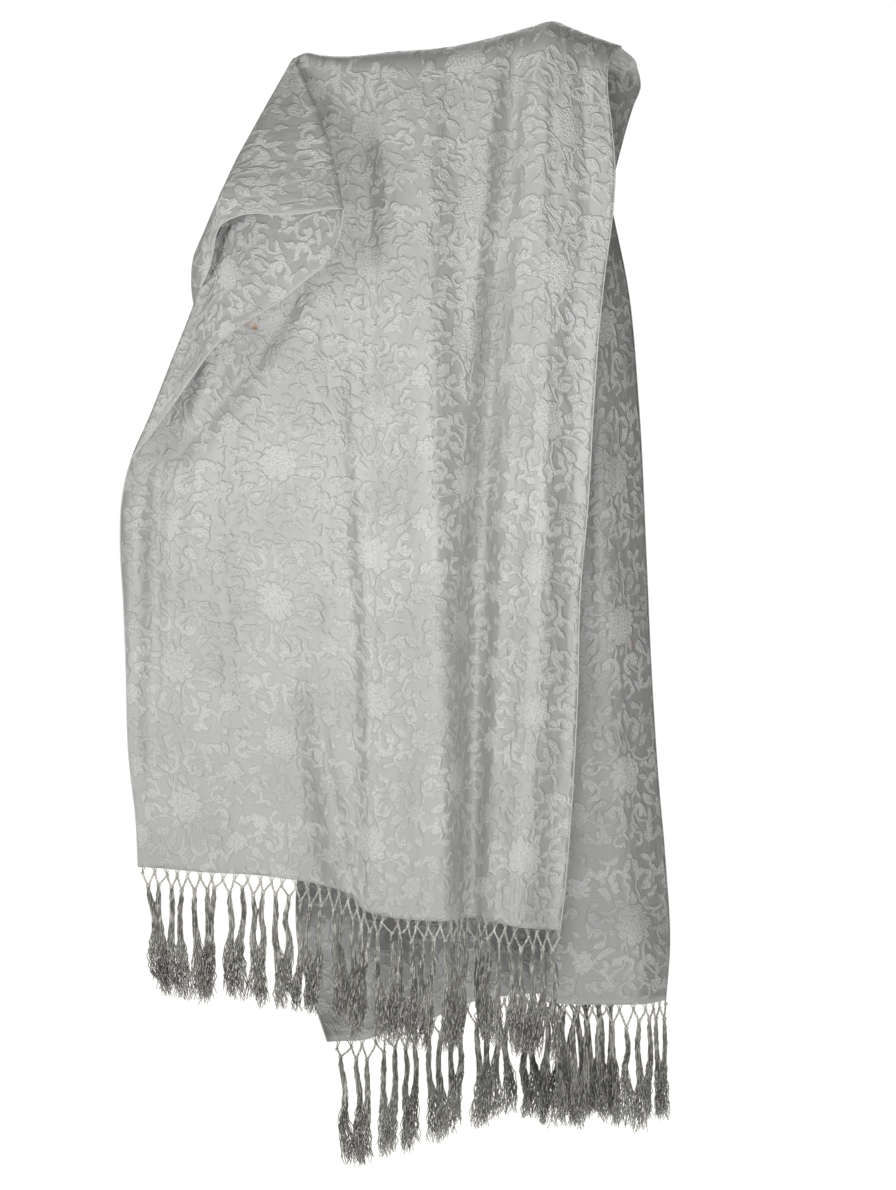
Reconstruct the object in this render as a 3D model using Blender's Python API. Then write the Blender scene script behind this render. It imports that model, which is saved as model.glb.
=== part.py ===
# Jacquard shawl with a knotted fringe, folded over a narrow support and hanging in two falls.
# X runs to the viewer's right, Z up, and the viewer stands at -Y.
# Tables are in millimetres: x to the right, drop below the mount, out towards the viewer.

import math
from collections import namedtuple

import bpy
import numpy as np

MM = 0.001

# The woven panel
CLOTH_THICKNESS = 1.6
SEAM_INSET = 0.35

# The support that the shawl hangs over, which is not part of it
ROLL_HEIGHT_SHARE = 0.8
HANG_DEPTH_LEFT = 32
HANG_DEPTH_RIGHT = 45
HANG_SETTLE_DROP = 260

# The fringe at each end
TASSELS_PER_END = 40
FRINGE_GAP = 0.9
HEADING_HEIGHT = 2.4
HEADING_HALF_THICKNESS = 0.8
NET_CORD_WIDTH = 2.2
KNOT_TOP = 13.5
KNOT_SHOULDER = 15.5
KNOT_BOTTOM = 19.5
KNOT_HALF_WIDTH = 2.4
KNOT_HALF_THICKNESS = 1.7
FRINGE_LENGTH = 135

# How unevenly the tassels' two locks hang: sideways, to the front or back, and in length,
# each as a wave from tassel to tassel with its own step
LOCK_SWAY = 3.2
LOCK_SWAY_STEP = 0.61
LOCK_SWING = 2.0
LOCK_SWING_STEP = 2.3
LOCK_SWING_START = 1.1
LOCK_SHORTENING = 9
LOCK_LENGTH_STEP = 1.7
LOCK_SIDE_STEP = 2.2

# How many rows and columns of faces each wall has
ROLL_ROWS = 4
CORNER_REACH = (0.09, 0.17, 0.28, 0.41, 0.55, 0.7, 0.85, 1)
FRONT_LOWER_ROWS = 11
BACK_LOWER_ROWS = 15
CURL_COLUMNS = 4
CORNER_FLAT_COLUMNS = 6
PLEAT_TURN_COLUMNS = (-0.32, 0, 0.32)
TURN_SAMPLES = 60
HEM_SAMPLES = 900
LEAST_COLUMN_STEP = 0.004

CrestRow = namedtuple("CrestRow", "x drop")
EdgeRow = namedtuple("EdgeRow", "drop x")
HemRow = namedtuple("HemRow", "share drop")
RollRow = namedtuple("RollRow", "share depth")
RimRow = namedtuple("RimRow", "share x drop")
FoldRow = namedtuple(
    "FoldRow",
    "x_top x_middle x_hem rise_top rise_middle rise_hem left_flank right_flank",
)
PleatRow = namedtuple("PleatRow", "drop reach depth")
LockRow = namedtuple("LockRow", "share apart half_width drift")

# A tassel's lock, by share of the way from its knot to its end: how far from the tassel's middle,
# how wide, and how much of the sway and swing it has
LOCK = [
    LockRow(0.5, 2.3, 1.35, 0.6),
    LockRow(1, 3.2, 1.9, 1),
]

# Line that the shawl is folded over, from the left corner to the right selvedge
CREST = [
    CrestRow(-152, 9),
    CrestRow(-143, 4.5),
    CrestRow(-120, 6.5),
    CrestRow(-99, 7.5),
    CrestRow(-38, 2.2),
    CrestRow(16, -2.2),
    CrestRow(77, -15.4),
    CrestRow(109, -24.4),
    CrestRow(137, -31),
    CrestRow(155, -24.4),
    CrestRow(178, -15.4),
    CrestRow(212, -4),
]

# Depth of the fold over the support, by share of the way along the crest
ROLL = [
    RollRow(0, 7),
    RollRow(0.08, 15),
    RollRow(0.25, 28),
    RollRow(0.5, 40),
    RollRow(0.8, 45),
    RollRow(1, 42),
]

# Left edge of the front fall: a turned fold down to the corner's end, then the selvedge
FRONT_LEFT = [
    EdgeRow(10, -152),
    EdgeRow(150, -208),
    EdgeRow(202, -229.5),
    EdgeRow(245, -242),
    EdgeRow(286, -255),
    EdgeRow(348, -284),
    EdgeRow(414, -310),
    EdgeRow(458, -329),
    EdgeRow(502, -339),
    EdgeRow(546, -341),
    EdgeRow(612, -338),
    EdgeRow(678, -335.5),
    EdgeRow(788, -332),
    EdgeRow(854, -324.5),
    EdgeRow(906, -322),
]

# Right selvedge of the front fall
FRONT_RIGHT = [
    EdgeRow(-4, 212),
    EdgeRow(4, 203.5),
    EdgeRow(15, 198),
    EdgeRow(30, 195.5),
    EdgeRow(89, 200),
    EdgeRow(131, 203.5),
    EdgeRow(187, 201),
    EdgeRow(252, 192.5),
    EdgeRow(315, 186),
    EdgeRow(392, 180.5),
    EdgeRow(518, 173),
    EdgeRow(594, 166),
    EdgeRow(728, 162),
    EdgeRow(864, 154),
    EdgeRow(935, 148),
    EdgeRow(976, 143),
]

# Left edge of the back fall: the outer turned fold, then the selvedge behind the front fall
BACK_LEFT = [
    EdgeRow(10, -152),
    EdgeRow(78, -188.7),
    EdgeRow(123, -212),
    EdgeRow(167, -235),
    EdgeRow(212, -254),
    EdgeRow(234, -263),
    EdgeRow(256, -265),
    EdgeRow(286, -262),
    EdgeRow(330, -244),
    EdgeRow(443, -203),
    EdgeRow(612, -164),
    EdgeRow(837, -147),
    EdgeRow(1035, -142),
    EdgeRow(1072, -129),
    EdgeRow(1110, -116),
]

# Right selvedge of the back fall
BACK_RIGHT = [
    EdgeRow(-4, 212),
    EdgeRow(0, 224),
    EdgeRow(12, 234),
    EdgeRow(28, 238),
    EdgeRow(50, 230),
    EdgeRow(94, 217),
    EdgeRow(140, 206.5),
    EdgeRow(162, 204.5),
    EdgeRow(179, 208),
    EdgeRow(252, 223),
    EdgeRow(387, 236),
    EdgeRow(567, 245),
    EdgeRow(680, 250),
    EdgeRow(809, 258),
    EdgeRow(915, 267),
    EdgeRow(1005, 271.5),
    EdgeRow(1066, 267),
]

# Hems, by share of the way across from the left edge to the right edge
FRONT_HEM = [
    HemRow(0, 906.4),
    HemRow(0.15, 911.4),
    HemRow(0.32, 917.4),
    HemRow(0.42, 925),
    HemRow(0.49, 938),
    HemRow(0.53, 954),
    HemRow(0.59, 961),
    HemRow(0.67, 963),
    HemRow(0.82, 964.7),
    HemRow(0.91, 971),
    HemRow(1, 975.6),
]
BACK_HEM = [
    HemRow(0, 1110),
    HemRow(0.09, 1107),
    HemRow(0.15, 1100),
    HemRow(0.3, 1086),
    HemRow(0.45, 1063),
    HemRow(0.62, 1056),
    HemRow(0.74, 1048),
    HemRow(0.77, 1051),
    HemRow(0.82, 1062),
    HemRow(0.88, 1066),
    HemRow(1, 1066),
]

# Soft folds of each fall: where each runs, how far it rises (or sinks) and how wide its flanks are
FRONT_FOLDS = [
    FoldRow(-240, -306, -306, 0, -14, -4, 16, 26),
    FoldRow(-200, -250, -255, 0, 12, 8, 34, 60),
    FoldRow(-130, -143, -150, 0, 9, 7, 45, 45),
    FoldRow(-110, -150, -86, 0, -4, -15, 40, 16),
    FoldRow(-64, -67, -62, -3, -8, -7, 20, 20),
    FoldRow(-18, 2, 12, 3, 24, 22, 60, 46),
    FoldRow(100, 57, 42, -5, -22, -24, 24, 30),
    FoldRow(128, 124, 96, 4, 16, 17, 34, 40),
]
BACK_FOLDS = [
    FoldRow(-90, -110, -70, 3, 14, 10, 50, 50),
    FoldRow(-20, -30, -5, -3, -10, -12, 45, 45),
    FoldRow(50, 40, 60, 3, 16, 14, 50, 50),
    FoldRow(110, 100, 120, -3, -10, -10, 40, 40),
]

# Deep pleat in the back fall, where the cloth doubles back behind its right-hand side:
# how far it reaches to each side, and how deep it stands
PLEAT_START_SHARE = 0.55
PLEAT_END_SHARE = 0.95
PLEAT_TURN_WIDTH = 0.16
PLEAT_OPEN_WIDTH = 0.5
PLEAT_FULL_REACH = 50
PLEAT = [
    PleatRow(0, 0, 0),
    PleatRow(200, 13, 16),
    PleatRow(450, 36, 26),
    PleatRow(750, 60, 28),
    PleatRow(1070, 76, 28),
]

# Right-hand side of the back fall, which turns away from the viewer past this line
SIDE_TURN = [
    EdgeRow(-10, 196),
    EdgeRow(60, 196),
    EdgeRow(180, 192),
    EdgeRow(580, 204),
    EdgeRow(760, 211),
    EdgeRow(900, 222),
    EdgeRow(1066, 236),
]
SIDE_TURN_DEPTH = 34
SIDE_TURN_ROUNDNESS = 0.92
SIDE_TURN_FIRST_SHARE = 0.7

# How the falls' left edges are turned: the angle at the corner's end and at the hem, in degrees,
# over what drop it eases from one to the other, and over what width the soft folds fade in
EDGE_TURN_ANGLE = 90
FRONT_HEM_ANGLE = 20
FRONT_EASE_DROP = 320
FRONT_FADE_WIDTH = 30
BACK_HEM_ANGLE = 25
BACK_EASE_DROP = 150
BACK_FADE_WIDTH = 40
BACK_FADE_SHARE = 0.3
SIDE_REACH_SHARE = 0.45
SIDE_EASE_DROP = 16

# Turned corner: the left end of the shawl is unsupported, so it falls forward from the apex.
# Its selvedge runs up across the front fall, then back to the left over the fold.
CORNER_DEPTH_TOP = 10
FRONT_TURN_END = 458
BACK_TURN_END = 286
APEX_ROUNDING_SHARE = 0.13
TURN_GROWTH = 0.7
APEX_SPREAD = 0.4
TURN_RADIUS = 13
CORNER_FOLD_RADIUS = 8
CORNER_LIFT = 17
CORNER_BOW = 8
OVER_LAYER_GAP = 9
OVER_LAYER_BELLY = 11
OVER_LAYER_BELLY_SHARE = 0.75
TURN_SHARE = 0.04
SIDE_SHARE = 0.12
CORNER_RIM = [
    RimRow(0, -329, 458),
    RimRow(0.14, -303, 426),
    RimRow(0.3, -268, 378),
    RimRow(0.5, -226, 326),
    RimRow(0.62, -196, 304),
    RimRow(0.73, -162, 283),
    RimRow(0.82, -135, 262),
    RimRow(0.91, -109, 238),
    RimRow(0.96, -98, 213),
    RimRow(1, -94, 186),
]
OVER_RIM = [
    RimRow(0, -94, 186),
    RimRow(0.14, -114, 187),
    RimRow(0.27, -135, 191),
    RimRow(0.45, -171, 192),
    RimRow(0.56, -192, 189),
    RimRow(0.68, -214, 193),
    RimRow(0.78, -232, 204),
    RimRow(0.88, -241, 245),
    RimRow(1, -262, 286),
]

CLOTH_COLOUR = (0.60, 0.60, 0.58, 1)
CLOTH_BACK_COLOUR = (0.55, 0.55, 0.53, 1)
FRINGE_COLOUR = (0.40, 0.39, 0.35, 1)
CLOTH_ROUGHNESS = 0.45
FRINGE_ROUGHNESS = 0.65


def read(rows, key, value, at):
    """A table's value column, read smoothly at a value of its key column and held flat past its ends."""
    x = np.array([getattr(row, key) for row in rows], float)
    y = np.array([getattr(row, value) for row in rows], float)
    slope = np.gradient(y, x)
    at = np.clip(at, x[0], x[-1])
    i = np.clip(np.searchsorted(x, at, side="right") - 1, 0, len(x) - 2)
    step = x[i + 1] - x[i]
    t = (at - x[i]) / step
    return (
        y[i] * (1 + 2 * t) * (1 - t) ** 2
        + y[i + 1] * t**2 * (3 - 2 * t)
        + slope[i] * step * t * (1 - t) ** 2
        - slope[i + 1] * step * t**2 * (1 - t)
    )


def mix(a, b, t):
    return a + (b - a) * t


def ease(t):
    t = np.clip(t, 0, 1)
    return t * t * (3 - 2 * t)


def arch(t):
    """Height of a quarter round at t from its foot (0, steep) to its top (1, level)."""
    return np.sqrt(np.clip(1 - (1 - np.clip(t, 0, 1)) ** 2, 0, 1))


def crest_drop(share):
    x = mix(CREST[0].x, CREST[-1].x, share)
    return read(CREST, "x", "drop", x)


def roll_depth(share):
    return read(ROLL, "share", "depth", share)


def roll_height(share):
    return ROLL_HEIGHT_SHARE * roll_depth(share)


def hang_depth(share, fall):
    """How far a fall hangs in front of or behind the crest, at a distance below it."""
    settled = mix(HANG_DEPTH_LEFT, HANG_DEPTH_RIGHT, share)
    reached = mix(roll_depth(share), settled, ease(fall / HANG_SETTLE_DROP))
    return reached * arch(fall / roll_height(share))


def corner_share(drop, end):
    """Share of the way down a corner's edge, kept off zero so that the apex stays rounded."""
    share = (drop - CORNER_DEPTH_TOP) / (end - CORNER_DEPTH_TOP)
    return np.clip(share, APEX_ROUNDING_SHARE, 1)


def turn_radius(drop):
    """Radius of the front fall's turned left edge."""
    return TURN_RADIUS * corner_share(drop, FRONT_TURN_END) ** TURN_GROWTH


def fold_radius(drop):
    """Radius of the fold between the turned corner and the cloth that lies over it."""
    return CORNER_FOLD_RADIUS * corner_share(drop, BACK_TURN_END) ** TURN_GROWTH


def over_out(drop):
    """Depth of the over layer where it starts round the left side."""
    gap = OVER_LAYER_GAP * corner_share(drop, BACK_TURN_END) ** TURN_GROWTH
    return hang_depth(0, drop - CREST[0].drop) + 2 * turn_radius(drop) + gap


def side_rise(drop):
    """How far the back fall's left edge comes forward to meet the over layer."""
    end = np.minimum(drop, BACK_TURN_END)
    behind = hang_depth(0, end - CREST[0].drop) + read(PLEAT, "drop", "depth", end)
    return (over_out(end) + behind) / 2


def fold_rise(folds, x, down):
    """Rise of all the soft folds at x, at a share of the way down a fall."""
    rise = np.zeros(np.broadcast(x, down).shape)
    for fold in folds:
        middle = fold.x_middle - (fold.x_top + fold.x_hem) / 2
        centre = mix(fold.x_top, fold.x_hem, down) + 4 * middle * down * (1 - down)
        bend = fold.rise_middle - (fold.rise_top + fold.rise_hem) / 2
        height = mix(fold.rise_top, fold.rise_hem, down) + 4 * bend * down * (1 - down)
        flank = np.where(x < centre, fold.left_flank, fold.right_flank)
        reach = np.clip(np.abs(x - centre) / flank, 0, 1)
        rise = rise + height * (1 + np.cos(math.pi * reach)) / 2
    return rise


def fall_rows(hem, corner_end, lower_rows):
    """Rows of a fall as (angle over the roll, share of the straight drop).

    The upper rows end on the rays of the corner layers, so that the seams there run true."""
    top = float(crest_drop(0) + roll_height(0))
    foot = hem[0].drop
    rows = [(math.pi / 2 * i / ROLL_ROWS, 0.0) for i in range(ROLL_ROWS + 1)]
    for reach in CORNER_REACH:
        drop = mix(CORNER_DEPTH_TOP, corner_end, reach)
        rows.append((math.pi / 2, (drop - top) / (foot - top)))
    upper = rows[-1][1]
    for i in range(1, lower_rows + 1):
        rows.append((math.pi / 2, mix(upper, 1, i / lower_rows)))
    return rows


def row_drop(share, hem, angle, down):
    """Drop of a row's points, at shares of the way across a fall."""
    on_roll = crest_drop(share) + roll_height(share) * (1 - np.cos(angle))
    return mix(on_roll, read(hem, "share", "drop", share), down)


def off_roll(share, drop):
    """How much of a fall's side turn is there: none on the roll, all of it just below."""
    return ease((drop - crest_drop(share) - roll_height(share)) / SIDE_EASE_DROP)


def front_curl(drop):
    """Angle that the front fall's left edge is turned through, and its radius."""
    curl = mix(EDGE_TURN_ANGLE, FRONT_HEM_ANGLE, ease((drop - FRONT_TURN_END) / FRONT_EASE_DROP))
    return np.radians(curl), turn_radius(drop)


def front_out(x, drop):
    """Depth of the front fall's surface at a place seen from the front."""
    curl, radius = front_curl(drop)
    left = read(FRONT_LEFT, "drop", "x", drop) + radius * np.sin(curl)
    right = read(FRONT_RIGHT, "drop", "x", drop)
    share = np.clip((x - left) / (right - left), 0, 1)
    fall = drop - crest_drop(share)
    down = np.clip(fall / (read(FRONT_HEM, "share", "drop", share) - crest_drop(share)), 0, 1)
    depth = hang_depth(share, fall)
    fade = ease((x - left) / FRONT_FADE_WIDTH) * arch(fall / roll_height(share))
    return depth + fold_rise(FRONT_FOLDS, x, down) * fade


def front_row(across, angle, down):
    """Points (x, out, drop) of one row of the front fall; across below 0 is on its turned edge."""
    share = np.clip(across, 0, 1)
    turned = np.clip(-across, 0, 1)
    drop = row_drop(share, FRONT_HEM, angle, down)
    curl, radius = front_curl(drop)
    left = read(FRONT_LEFT, "drop", "x", drop) + radius * np.sin(curl)
    right = read(FRONT_RIGHT, "drop", "x", drop)
    x = mix(left, right, share)
    hanging = off_roll(share, drop)
    out = front_out(x, drop) + radius * (1 - np.cos(curl * turned)) * hanging
    aside = radius * mix(turned, np.sin(curl * turned), hanging)
    return np.stack([x - aside, out, drop], axis=-1)


def pleat_turn(width, drop):
    """Where the pleat's cloth turns back, and over how much of the pleat it turns."""
    span = width * (PLEAT_END_SHARE - PLEAT_START_SHARE)
    reach = read(PLEAT, "drop", "reach", drop)
    turn_at = np.arccos(-np.clip(span / (2 * math.pi * reach + 1e-6), 0, 1)) / (2 * math.pi)
    return turn_at, mix(PLEAT_OPEN_WIDTH, PLEAT_TURN_WIDTH, ease(reach / PLEAT_FULL_REACH))


def back_row(across, angle, down):
    """Points (x, out, drop) of one row of the back fall; across below 0 is on its turned edge."""
    share = np.clip(across, 0, 1)
    turned = np.clip(-across, 0, 1)
    drop = row_drop(share, BACK_HEM, angle, down)
    turn = mix(EDGE_TURN_ANGLE, BACK_HEM_ANGLE, ease((drop - BACK_TURN_END) / BACK_EASE_DROP))
    turn = np.radians(turn)
    roll = arch((drop - crest_drop(share)) / roll_height(share))
    hanging = off_roll(share, drop)
    rise = side_rise(drop) * hanging
    reach = SIDE_REACH_SHARE * side_rise(drop)
    left = read(BACK_LEFT, "drop", "x", drop) + reach * np.sin(turn)
    right = read(BACK_RIGHT, "drop", "x", drop)
    pleat = np.clip((share - PLEAT_START_SHARE) / (PLEAT_END_SHARE - PLEAT_START_SHARE), 0, 1)
    x = mix(left, right, share)
    x = x + read(PLEAT, "drop", "reach", drop) * np.sin(2 * math.pi * pleat)
    turn_at, turn_width = pleat_turn(right - left, drop)
    layers = ease((pleat - turn_at) / turn_width + 0.5) + ease((pleat - 1 + turn_at) / turn_width + 0.5)
    pleat_depth = read(PLEAT, "drop", "depth", drop) * (1 - layers / 2)
    side = read(SIDE_TURN, "drop", "x", drop)
    past = np.clip((x - side) / np.maximum(right - side, 1), 0, 1)
    past = past * ease((pleat - SIDE_TURN_FIRST_SHARE) / (1 - SIDE_TURN_FIRST_SHARE))
    away = SIDE_TURN_DEPTH * (1 - np.sqrt(1 - SIDE_TURN_ROUNDNESS * past**2)) * roll
    fade = ease((x - left) / BACK_FADE_WIDTH) * ease((1 - share) / BACK_FADE_SHARE) * roll
    folds = fold_rise(BACK_FOLDS, x, down) * fade
    depth = hang_depth(share, drop - crest_drop(share))
    out = folds - depth - pleat_depth - away + rise * (1 - np.cos(turn * turned))
    aside = reach * mix(turned, np.sin(turn * turned), hanging)
    return np.stack([x - aside, out, drop], axis=-1)


def rim_point(rim, share):
    return read(rim, "share", "x", share), read(rim, "share", "drop", share)


def cone_points(rim, edge, edge_end, reach, across, edge_at):
    """In-plane points of a corner layer: rays from the apex, each a smaller copy of the rim.

    reach is the share of the way from the apex to the rim, and edge the fall's edge that the
    layer meets at across 0 or 1, as edge_at says."""
    apex_x, apex_drop = CREST[0].x, CORNER_DEPTH_TOP
    rim_x, rim_drop = rim_point(rim, across)
    x = mix(apex_x, rim_x, reach)
    drop = mix(apex_drop, rim_drop, reach)
    end_x, end_drop = rim_point(rim, edge_at)
    edge_drop = mix(apex_drop, edge_end, reach)
    near_edge = (1 - np.abs(across - edge_at)) ** 2
    x = x + (read(edge, "drop", "x", edge_drop) - mix(apex_x, end_x, reach)) * near_edge
    drop = drop + (edge_drop - mix(apex_drop, end_drop, reach)) * near_edge
    return x, drop


def near_apex(share, reach):
    """A turn's share of the way across a corner layer, larger towards the apex, where that narrows."""
    return share * reach**-APEX_SPREAD


def corner_columns(reach, first_share, last_share):
    """Shares across a corner layer for each ray, packed at its two turned edges."""
    bend = 1 - np.cos(np.linspace(0, math.pi / 2, CURL_COLUMNS + 1))
    rows = []
    for r in reach:
        first, last = near_apex(first_share, r), near_apex(last_share, r)
        flat = np.linspace(first, 1 - last, CORNER_FLAT_COLUMNS + 1)[1:-1]
        rows.append(np.concatenate([first * bend, flat, 1 - last * bend[::-1]]))
    return np.array(rows)


def turned_corner_ray(reach, across):
    """Points of the turned corner, across from the front fall's turned edge to its own fold."""
    x, drop = cone_points(CORNER_RIM, FRONT_LEFT, FRONT_TURN_END, reach, across, 0)
    x = x + CORNER_BOW * np.sin(math.pi * reach) * across**3
    radius = turn_radius(mix(CORNER_DEPTH_TOP, FRONT_TURN_END, reach))
    turn = radius * (1 + arch(across / near_apex(TURN_SHARE, reach)))
    lift = CORNER_LIFT * reach * across**1.5
    fold = fold_radius(mix(CORNER_DEPTH_TOP, BACK_TURN_END, reach))
    fold = fold * (1 - arch((1 - across) / near_apex(TURN_SHARE, reach)))
    return np.stack([x, front_out(x, drop) + turn + lift + fold, drop], axis=-1)


def over_corner_ray(reach, across):
    """Points of the layer over the turned corner, from the fold round to the left side."""
    x, drop = cone_points(OVER_RIM, BACK_LEFT, BACK_TURN_END, reach, across, 1)
    x = x + CORNER_BOW * np.sin(math.pi * reach) * (1 - across) ** 3
    start = turned_corner_ray(reach, np.ones_like(across))[..., 1]
    side_drop = mix(CORNER_DEPTH_TOP, BACK_TURN_END, reach)
    near_fold = start + fold_radius(side_drop) * arch(across / near_apex(TURN_SHARE, reach))
    near_side = over_out(side_drop)
    belly = np.sin(math.pi * np.clip(across / OVER_LAYER_BELLY_SHARE, 0, 1))
    belly = OVER_LAYER_BELLY * reach * belly
    side_share = near_apex(SIDE_SHARE, reach)
    flat = mix(near_fold, near_side, ease(across / (1 - side_share))) + belly
    side = near_side - side_rise(side_drop)
    round_side = side + (flat - side) * arch((1 - across) / side_share)
    out = np.where(across > 1 - side_share, round_side, flat)
    return np.stack([x, out, drop], axis=-1)


def even_columns(row, hem_row, count, extra):
    """Shares of the way across that part a hem into equal lengths, with extra ones for tight turns."""
    turned = np.linspace(-1, 0, TURN_SAMPLES, endpoint=False)
    dense = np.concatenate([turned, np.linspace(0, 1, HEM_SAMPLES)])
    points = row(dense, *hem_row)
    steps = np.linalg.norm(np.diff(points, axis=0), axis=1)
    length = np.concatenate([[0], np.cumsum(steps)])
    main = np.interp(np.linspace(0, length[-1], count + 1), length, dense)
    columns = np.array(sorted(set(main) | set(extra)))
    steps = np.diff(columns)
    keep = [step > LEAST_COLUMN_STEP or value in main for step, value in zip(steps, columns[1:])]
    return columns[np.array([True] + keep)], main


def inset_ends(grid, first=False, last=False, left=False, right=False):
    """Draws the named borders of a grid of points in by the seam's share of the gap."""

    def drawn_in(border, inner):
        step = inner - border
        length = np.maximum(np.linalg.norm(step, axis=-1, keepdims=True), 1e-9)
        return border + step * SEAM_INSET / length

    grid = grid.copy()
    if first:
        grid[0] = drawn_in(grid[0], grid[1])
    if last:
        grid[-1] = drawn_in(grid[-1], grid[-2])
    if left:
        grid[:, 0] = drawn_in(grid[:, 0], grid[:, 1])
    if right:
        grid[:, -1] = drawn_in(grid[:, -1], grid[:, -2])
    return grid


def to_metres(points):
    """From (x, out, drop) in millimetres to (X, Y, Z) in metres."""
    points = np.asarray(points, float)
    return np.stack([points[..., 0], -points[..., 1], -points[..., 2]], axis=-1) * MM


def material(name, colour, roughness):
    finish = bpy.data.materials.new(name)
    finish.use_nodes = True
    shader = finish.node_tree.nodes["Principled BSDF"]
    shader.inputs["Base Color"].default_value = colour
    shader.inputs["Roughness"].default_value = roughness
    shader.inputs["Metallic"].default_value = 0
    return finish


def add_object(name, points, faces, finish):
    mesh = bpy.data.meshes.new(name)
    mesh.from_pydata([tuple(p) for p in points], [], faces)
    mesh.materials.append(finish)
    mesh.shade_smooth()
    thing = bpy.data.objects.new(name, mesh)
    bpy.context.scene.collection.objects.link(thing)
    return thing


def cloth_wall(name, grid, finish):
    """A wall of cloth on a grid of points, of the cloth's thickness about them."""
    rows, columns = grid.shape[:2]
    faces = [
        (r * columns + c, (r + 1) * columns + c, (r + 1) * columns + c + 1, r * columns + c + 1)
        for r in range(rows - 1)
        for c in range(columns - 1)
    ]
    wall = add_object(name, to_metres(grid.reshape(-1, 3)), faces, finish)
    thicken = wall.modifiers.new("Thickness", "SOLIDIFY")
    thicken.thickness = CLOTH_THICKNESS * MM
    thicken.offset = 0
    thicken.use_even_offset = False
    thicken.use_rim = True
    return wall


class HemLine:
    """A hem as the points where its fringe is knotted on, with level directions along and out."""

    def __init__(self, points):
        self.points = points
        along = np.gradient(points[:, :2], axis=0)
        along = along / np.linalg.norm(along, axis=1, keepdims=True)
        self.along = along
        self.out = np.stack([-along[:, 1], along[:, 0]], axis=1)

    def place(self, at, sideways, out, down):
        """A point at hem position `at`, in tassels, moved sideways, out and down."""
        i = min(int(at), len(self.points) - 2)
        t = at - i
        base = mix(self.points[i], self.points[i + 1], t)
        along = mix(self.along[i], self.along[i + 1], t)
        normal = mix(self.out[i], self.out[i + 1], t)
        x, y = base[:2] + along * sideways + normal * out / np.linalg.norm(normal)
        return (x, y, base[2] + down)


def fringe(name, hem_points, finish):
    """A knotted fringe: a heading strip, a net of cords between knots, and two locks a tassel."""
    hem = HemLine(hem_points)
    points, index, faces, plain = [], {}, [], []

    def corner(at, sideways, down, half):
        """The front and back vertices of a point of the net."""
        key = (round(at, 4), round(sideways, 3), round(down, 3))
        if key not in index:
            index[key] = len(points)
            points.append(hem.place(at, sideways, half, FRINGE_GAP + down))
            points.append(hem.place(at, sideways, -half, FRINGE_GAP + down))
        return index[key]

    def lock(front_left, front_right, i, side):
        """A tapering four-sided lock that grows out of a knot's foot."""
        ring = [front_left, front_right, front_right + 1, front_left + 1]
        sway = LOCK_SWAY * math.sin(LOCK_SWAY_STEP * i)
        swing = LOCK_SWING * math.sin(LOCK_SWING_STEP * i + LOCK_SWING_START)
        shorter = (1 + math.sin(LOCK_LENGTH_STEP * i + LOCK_SIDE_STEP * side)) / 2
        end = FRINGE_LENGTH - LOCK_SHORTENING * shorter
        for row in LOCK:
            half = row.half_width
            down = FRINGE_GAP + mix(KNOT_BOTTOM, end, row.share)
            middle = side * row.apart + sway * row.drift
            start = len(points)
            for dx, dy in ((-half, half), (half, half), (half, -half), (-half, -half)):
                points.append(hem.place(i + 0.5, middle + dx, swing * row.drift + dy, down))
            fresh = [start + k for k in range(4)]
            for k in range(4):
                faces.append((ring[k], fresh[k], fresh[(k + 1) % 4], ring[(k + 1) % 4]))
            ring = fresh
        faces.append(tuple(reversed(ring)))

    thin, thick = HEADING_HALF_THICKNESS, KNOT_HALF_THICKNESS
    roots = set()
    for i in range(len(hem_points) - 1):
        pitch = np.linalg.norm(hem_points[i + 1] - hem_points[i])
        inner = NET_CORD_WIDTH / pitch
        top = [corner(i + a, 0, 0, thin) for a in (0, inner, 1 - inner, 1)]
        foot = [corner(i + a, 0, HEADING_HEIGHT, thin) for a in (0, inner, 1 - inner, 1)]
        crown = corner(i + 0.5, 0, KNOT_TOP, thick)
        left = corner(i + 0.5, -KNOT_HALF_WIDTH, KNOT_SHOULDER, thick)
        right = corner(i + 0.5, KNOT_HALF_WIDTH, KNOT_SHOULDER, thick)
        base = [
            corner(i + 0.5, dx, KNOT_BOTTOM, thick)
            for dx in (-KNOT_HALF_WIDTH, 0, KNOT_HALF_WIDTH)
        ]
        for k in range(3):
            plain.append((top[k], top[k + 1], foot[k + 1], foot[k]))
        plain.append((foot[0], foot[1], crown, left))
        plain.append((foot[3], right, crown, foot[2]))
        plain.append((left, crown, base[1], base[0]))
        plain.append((crown, right, base[2], base[1]))
        for a, b, side in ((base[0], base[1], -1), (base[1], base[2], 1)):
            roots.add((a, b))
            lock(a, b, i, side)

    used = {}
    for quad in plain:
        faces.append(tuple(reversed(quad)))
        faces.append(tuple(v + 1 for v in quad))
        for a, b in zip(quad, quad[1:] + quad[:1]):
            used[(a, b)] = True
    for a, b in used:
        if (b, a) not in used and (a, b) not in roots and (b, a) not in roots:
            faces.append((a, b, b + 1, a + 1))
    thing = add_object(name, to_metres(np.array(points)), faces, finish)
    return thing


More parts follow.
